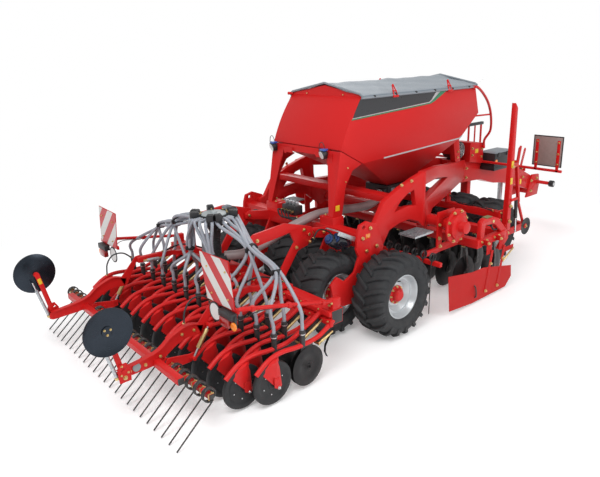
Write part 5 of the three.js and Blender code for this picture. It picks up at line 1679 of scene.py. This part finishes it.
def makeDrawbar():
    part = softened("drawbar", 0.005)
    for low, high in (((4.66, 1.03), (4.66, 0.96)), ((4.9, 0.95), (4.9, 0.86))):
        addBar(part, (0.0, *low), (0.0, *high), 0.1, 0.014, 0, 0.003)
    for hand in (-1, 1):
        addBolts(part, [(hand * 0.12, *place) for place in drawbar["bolts"]], (hand, 0, 0), 18)
        line = [(hand * x, y, z) for x, y, z in drawbar["hose"]]
        hydraulicHose(part, line, 0.011, 2)
        hydraulicHose(part, [(x + hand * 0.03, y, z + 0.004) for x, y, z in line], 0.009, 2)
    # slotted holders for hose ends, over the beam
    for (y0, z0), (y1, z1), x in drawbar["holders"]:
        along = Vector((0, y1 - y0, z1 - z0))
        sideways = Vector((0, along.z, -along.y)).normalized()
        loops = []
        for half, start, end in ((0.03, 0.0, 1.0), (0.01, 0.3, 0.92)):
            left = [(-0.7, start), (-1.0, start + 0.1), (-1.0, end - 0.08), (-0.5, end)]
            corners = left + [(-side, at) for side, at in reversed(left)]
            places = [Vector((0, y0, z0)) + along * at + sideways * half * side for side, at in corners]
            loops.append([(place.y, place.z) for place in places])
        addPlate(part, loops, x - 0.005, x + 0.005, 0, 0.001)
    newPiece("drawbar_beam", part, "chassis", [redPaint, goldZinc, hoseRubber], ["drawbar"])

    part = softened("hitch")
    for hand in (-1, 1):
        addBolts(part, [(hand * 0.15, *place) for place in drawbar["hitchBolts"]], (hand, 0, 0), 20)
        pin = drawbar["hitchPin"]
        low, high = sorted((hand * 0.38, hand * 0.452))
        addRod(part, (low, *pin), (high, *pin), 0.055, 3, 24, round=0.006)
        addRod(part, (hand * 0.452, *pin), (hand * 0.458, *pin), 0.03, 2, 20)
    newPiece("hitch_head", part, "chassis", [redPaint, goldZinc, steelPin, hoseRubber], ["hitch"])

    part = softened("hose_holder", 0.003)
    newPiece("hose_fork", part, "chassis", [redPaint], ["hose_holder"])
    part = softened("parking_stand")
    newPiece("stand_leg", part, "stand", [galvanised], ["parking_stand"])
    part = softened("packer_frame")
    bothHands(part, 1.015, ((2.66, 0.45), (2.72, 0.45), (3.16, 0.45)), 18)
    newPiece("packer_beam", part, "chassis", [redPaint, goldZinc], ["packer_frame"])


def makeFrontBoards():
    part = bmesh.new()
    y, z = 3.3403, 1.262
    x0, x1, z0, z1, edge = 0.971, 1.392, 1.316, 1.737, 0.014
    addRod(part, (-1.394, y, z), (1.394, y, z), 0.0195, 0, 20, round=0.002)
    for hand in (-1, 1):
        for x in (1.03, 1.335):
            addBlock(part, (hand * x - 0.021, y - 0.026, z - 0.014), (hand * x + 0.021, y - 0.0185, 1.679), 0, 0.002)
        addBlock(part, (hand * x0, y - 0.018, z0), (hand * x1, y - 0.011, z1), 1, 0.002)
        # black edging all round the board
        for a, b, low, high in ((x0, x1, z0, z0 + edge), (x0, x1, z1 - edge, z1),
                                (x0, x0 + edge, z0 + edge, z1 - edge), (x1 - edge, x1, z0 + edge, z1 - edge)):
            addBlock(part, (hand * a, y - 0.0205, low), (hand * b, y - 0.0095, high), 2, 0.002)
        addBlock(part, (hand * 1.01, y - 0.026, z - 0.011), (hand * 1.35, y - 0.018, z + 0.011), 0, 0.002)
        for x in (1.03, 1.335):
            addBolts(part, [(hand * x, y - 0.026, height) for height in (1.36, 1.5, 1.65)], (0, -1, 0), 12, 3)
    looks = [redPaint, boardBack, blackPlastic, goldZinc]
    newPiece("front_board_pair", part, "chassis", looks, ["front_boards"])


def discBlade():
    # dished blade with a ground rim, hub to the arm's side
    profile = [(0.0, 0.0), (0.07, 0.0), (0.14, 0.006), (0.19, 0.016), (0.2285, 0.027), (0.2285, 0.024), (0.19, 0.012),
               (0.14, 0.002), (0.07, -0.004), (0.0, -0.004)]
    part = spun(profile, 44)
    addRod(part, (-0.004, 0, 0), (-0.022, 0, 0), 0.05, 1, 24, round=0.003)
    for index in range(5):
        angle = 2 * math.pi * index / 5
        addBolt(part, (0.0, 0.045 * math.cos(angle), 0.045 * math.sin(angle)), (1, 0, 0), 10, 2)
    return part


def makeDiscs():
    part = softened("disc_frame")
    bothHands(part, 1.16, ((0.95, 0.72), (1.28, 0.7), (0.93, 0.98), (1.18, 0.98), (0.93, 0.82)), 18)
    bothHands(part, 1.42, ((1.42, 0.715), (1.52, 0.715), (1.69, 0.715), (1.79, 0.715)), 14)
    for hand in (-1, 1):
        x = hand * 1.38
        arch = [(1.4, 0.74), (1.4, 0.95), (1.46, 0.99), (1.7, 0.965), (1.79, 0.93), (2.03, 0.7), (2.04, 0.62),
                (1.9, 0.5), (1.84, 0.52), (1.94, 0.62), (1.93, 0.68), (1.72, 0.86), (1.66, 0.885), (1.5, 0.9),
                (1.48, 0.74)]
        addPlate(part, [arch], x - 0.03, x + 0.03, 0, 0.008)
        addRod(part, (x - 0.036, 1.66, 0.92), (x + 0.036, 1.66, 0.92), 0.02, 1, 16, round=0.002)
        addBlock(part, (x - 0.035, 1.5, 0.985), (x + 0.035, 1.62, 0.994), 3, 0.004)
        handle = [(x, 1.66, 0.86), (x, 1.72, 0.8), (x, 1.8, 0.79), (x, 1.86, 0.84)]
        addTubes(part, [smoothLine(handle, 20)], 0.012, 2, 2)
    looks = [redPaint, goldZinc, blackPlastic, padOlive]
    newPiece("disc_beams", part, "disc_section", looks, ["disc_frame"])
    blade = asMesh(discBlade())
    for name, y, shift in (("front", 1.9, 0.03), ("rear", 1.38, -0.03)):
        part = bmesh.new()
        addBlock(part, (-1.4, y - 0.03, 0.63), (1.4, y + 0.03, 0.6495), 0, 0.003)
        for index in range(11):
            x = (index - 5) * 0.25 + shift
            bend = [(y - 0.02, 0.64), (y + 0.03, 0.64), (y + 0.06, 0.52), (y + 0.095, 0.36), (y + 0.09, 0.235),
                    (y + 0.04, 0.225), (y + 0.05, 0.36), (y + 0.01, 0.52)]
            addPlate(part, [bend], x - 0.011, x + 0.011, 1, 0.003)
            turn = Matrix.Translation((x - 0.018, y + 0.06, 0.25)) @ Matrix.Rotation(math.pi, 4, "Z")
            stamp(part, blade, turn)
            addBlock(part, (x - 0.024, y - 0.05, 0.63), (x + 0.024, y + 0.05, 0.642), 2, 0.003)
        newPiece("disc_gang_" + name, part, "disc_section", [darkSteel, blackPaint, goldZinc],
                 ["disc_row_" + name])
    part = bmesh.new()
    addBlock(part, (-1.4, 0.626, 0.601), (1.4, 0.674, 0.6495), 1, 0.003)
    coils = []
    for index in range(22):
        x = (index - 10.5) * 0.125
        line = [(x - 0.034, 0.66, 0.655), (x - 0.034, 0.64, 0.66)]
        for step in range(31):
            angle = math.radians(-100) + 2 * math.pi * step / 12
            line.append((x - 0.03 + step * 0.001, 0.63 + 0.045 * math.cos(angle), 0.7 + 0.045 * math.sin(angle)))
        line += [(x, 0.588, 0.62), (x, 0.582, 0.3), (x, 0.581, 0.032)]
        coils.append([Vector(place) for place in line])
    addTubes(part, coils, 0.006, 0, 2)
    newPiece("leveller", part, "disc_section", [springBlack, redPaint], ["leveller_tines"])


def makeGuards():
    part = bmesh.new()
    plate = [(0.68, 0.5), (0.73, 0.065), (1.18, 0.025), (1.91, 0.025), (2.04, 0.134), (2.02, 0.285), (1.39, 0.42),
             (1.15, 0.425)]
    addPlate(part, [plate], 1.4785, 1.4855, 0, 0.002)
    for y, topY, footY in ((1.47, 1.55, 1.445), (1.74, 1.82, 1.7)):
        addBlock(part, (1.4205, y - 0.015, 0.672), (1.478, y + 0.015, 0.728), 0, 0.003)
        addBlock(part, (1.474, y - 0.03, 0.56), (1.4785, y + 0.08, 0.728), 0, 0.001)
        addBar(part, (1.4885, topY, 0.6), (1.4885, footY, 0.09), 0.005, 0.048, 0, 0.001)
        addBolts(part, [(1.491, footY, 0.11), (1.491, topY - 0.03, 0.44)], (1, 0, 0), 16)
        addBolt(part, (1.4785, y, 0.7), (1, 0, 0), 16, 1)
    # gold strut to the top of the front strap, and the lifting handle
    addRod(part, (1.496, 2.02, 0.52), (1.496, 1.79, 0.4), 0.011, 1, 14, round=0.002)
    addBlock(part, (1.474, 1.8, 0.5), (1.4785, 2.05, 0.56), 0, 0.002)
    handle = [(1.486, 1.205, 0.245), (1.503, 1.21, 0.225), (1.505, 1.225, 0.16), (1.503, 1.23, 0.105),
              (1.486, 1.235, 0.085)]
    addTubes(part, [smoothLine(handle, 20)], 0.008, 2, 2)
    # the guards take the darker copy of the red paint, a painted shade
    newPair("guard", part, "guard", [shadedGuardPaint, goldZinc, blackPlastic], "side_guard")


def makeTrackMarkers():
    part = softened("track_marker_right")
    for z in (1.49, 1.28):
        addBlock(part, (1.33, 2.12, z), (1.337, 2.165, z + 0.08), 2, 0.0)
    addBlock(part, (1.3, 2.375, 1.24), (1.3205, 2.41, 1.3), 2, 0.0)
    addBolts(part, [(1.34, 2.15, 0.8), (1.34, 2.15, 1.0), (1.33, 2.15, 1.5)], (1, 0, 0), 20)
    # cylinder in front of the mast, with its bright rod
    top, end = Vector((1.335, 2.29, 1.05)), Vector((1.335, 2.33, 0.62))
    addRod(part, top, top.lerp(end, 0.55), 0.022, 3, 20, round=0.003)
    addRod(part, top.lerp(end, 0.55), end, 0.011, 4, 16)
    addBar(part, (1.335, 2.16, 1.07), (1.335, 2.31, 1.07), 0.03, 0.03, 0, 0.003)
    newPair("marker_mast", part, "track_arm", [redPaint, goldZinc, stickerYellow, blackPaint, steelPin],
            "track_marker")
    low, high = localBox("track_disc_right")
    radius = (high.z - low.z) / 2 - 0.0005
    profile = [(0.0, 0.01), (0.04, 0.01), (0.07, 0.013), (radius, 0.0185), (radius, 0.0155), (0.07, 0.008),
               (0.04, 0.002), (0.0, 0.0)]
    part = spun(profile, 44)
    addRod(part, (0.008, 0, 0), (0.0165, 0, 0), 0.032, 1, 24, round=0.002)
    addBolt(part, (0.0165, 0, 0), (1, 0, 0), 14, 2)
    middle = (low + high) / 2
    bmesh.ops.translate(part, verts=part.verts, vec=(low.x, middle.y, middle.z))
    newPair("track_blade", part, "track_blade", [darkSteel, redPaint, goldZinc], "track_disc")


def makeSeedBar():
    part = softened("seed_bar")
    for hand in (-1, 1):
        for y, z in ((-0.61, 1.14), (-0.53, 0.99), (-0.72, 0.97), (-1.22, 1.16), (-1.0, 0.66)):
            addBolt(part, (hand * 0.562, y, z), (hand, 0, 0), 16, 1)
        addBlock(part, (hand * 1.447, -1.066, 0.514), (hand * 1.451, -0.934, 0.646), 2, 0.001)
        addBlock(part, (hand * 0.75 - 0.05, -1.04, 0.648), (hand * 0.75 + 0.05, -0.96, 0.662), 0, 0.002)
        for x in (0.715, 0.785):
            addBolt(part, (hand * x, -1.025, 0.662), (0, 0, 1), 14)
        # tie bar beside the harrow arm, with its bright screw
        addRod(part, (hand * 0.7, -1.84, 0.79), (hand * 0.7, -1.6, 0.77), 0.013, 1, 12)
        addRod(part, (hand * 0.7, -1.8, 0.787), (hand * 0.7, -1.66, 0.775), 0.02, 6, 14, round=0.003)
        line = [(0.6, -0.95, 0.66), (0.7, -1.1, 0.76), (0.72, -1.35, 0.86), (0.73, -1.6, 0.83)]
        hydraulicHose(part, [onHand(hand, place) for place in line], 0.009, 3)
    for hand in (-1, 1):
        strap = [(1.45, -1.1, 0.43), (1.45, -1.16, 0.34), (1.45, -1.165, 0.28), (1.45, -1.14, 0.225)]
        for start, end in zip(strap, strap[1:]):
            addBar(part, (hand * start[0], *start[1:]), (hand * end[0], *end[1:]), 0.022, 0.006, 3, 0.0)
    # control box beside the tower, with its yellow label
    addBlock(part, (-0.2, -1.4, 0.9), (-0.055, -1.29, 1.1), 4, 0.008)
    addBlock(part, (-0.17, -1.402, 1.03), (-0.11, -1.4, 1.07), 5, 0.0)
    looks = [redPaint, goldZinc, blackPlastic, hoseRubber, greyPlastic, stickerYellow, galvanised]
    newPiece("coulter_bar", part, "seed_bar_group", looks, ["seed_bar"])


vesselParts = [  # from and to as shares of the length, radius, look
    (0.1, 0.84, 0.0615, 0), (0.84, 0.9, 0.05, 1), (0.9, 1.0, 0.032, 1), (0.04, 0.1, 0.045, 0), (0.0, 0.05, 0.02, 2),
]


def makeAccumulators():
    part = bmesh.new()
    face = -0.24
    for x, y in ((0.87, face - 0.14), (0.9, face - 0.07)):
        start, end = Vector((x, y, 0.985)), Vector((x, y - 0.19, 1.11))
        for a, b, radius, look in vesselParts:
            addRod(part, start.lerp(end, a), start.lerp(end, b), radius, look, 28, round=0.004)
    addBlock(part, (0.842, face - 0.178, 0.972), (0.898, face - 0.0005, 1.008), 3, 0.003)
    addBolts(part, [(0.898, face - 0.05, 0.99), (0.898, face - 0.13, 0.99)], (1, 0, 0), 14, 2)
    # slotted bracket over the vessels, and their brass ends
    low, high = Vector((0.0, face - 0.04, 1.07)), Vector((0.0, face - 0.28, 1.19))
    for index in range(6):
        side = Vector((0.82 + index * 0.03, 0, 0))
        addBar(part, low + side, high + side, 0.018, 0.004, 3, 0.0)
    for place in (low, high):
        addBlock(part, place + Vector((0.81, -0.015, -0.003)), place + Vector((0.98, 0.015, 0.003)), 3, 0.001)
    addBar(part, low + Vector((0.982, 0, -0.02)), high + Vector((0.982, 0, -0.02)), 0.004, 0.045, 3, 0.001)
    for x, y in ((0.87, face - 0.14), (0.9, face - 0.07)):
        addRod(part, (x, y + 0.005, 0.985), (x, y + 0.03, 0.955), 0.014, 2, 10)
    looks = [vesselBlack, capBlue, goldZinc, galvanised]
    newPiece("pressure_vessels", part, "chassis", looks, ["accumulators"])


makeRollerFrame()
makeMainFrame()
makeDrawbar()
makeFrontBoards()
makeDiscs()
makeGuards()
makeTrackMarkers()
makeSeedBar()
makeAccumulators()
print("frames, discs, guards and track markers made")
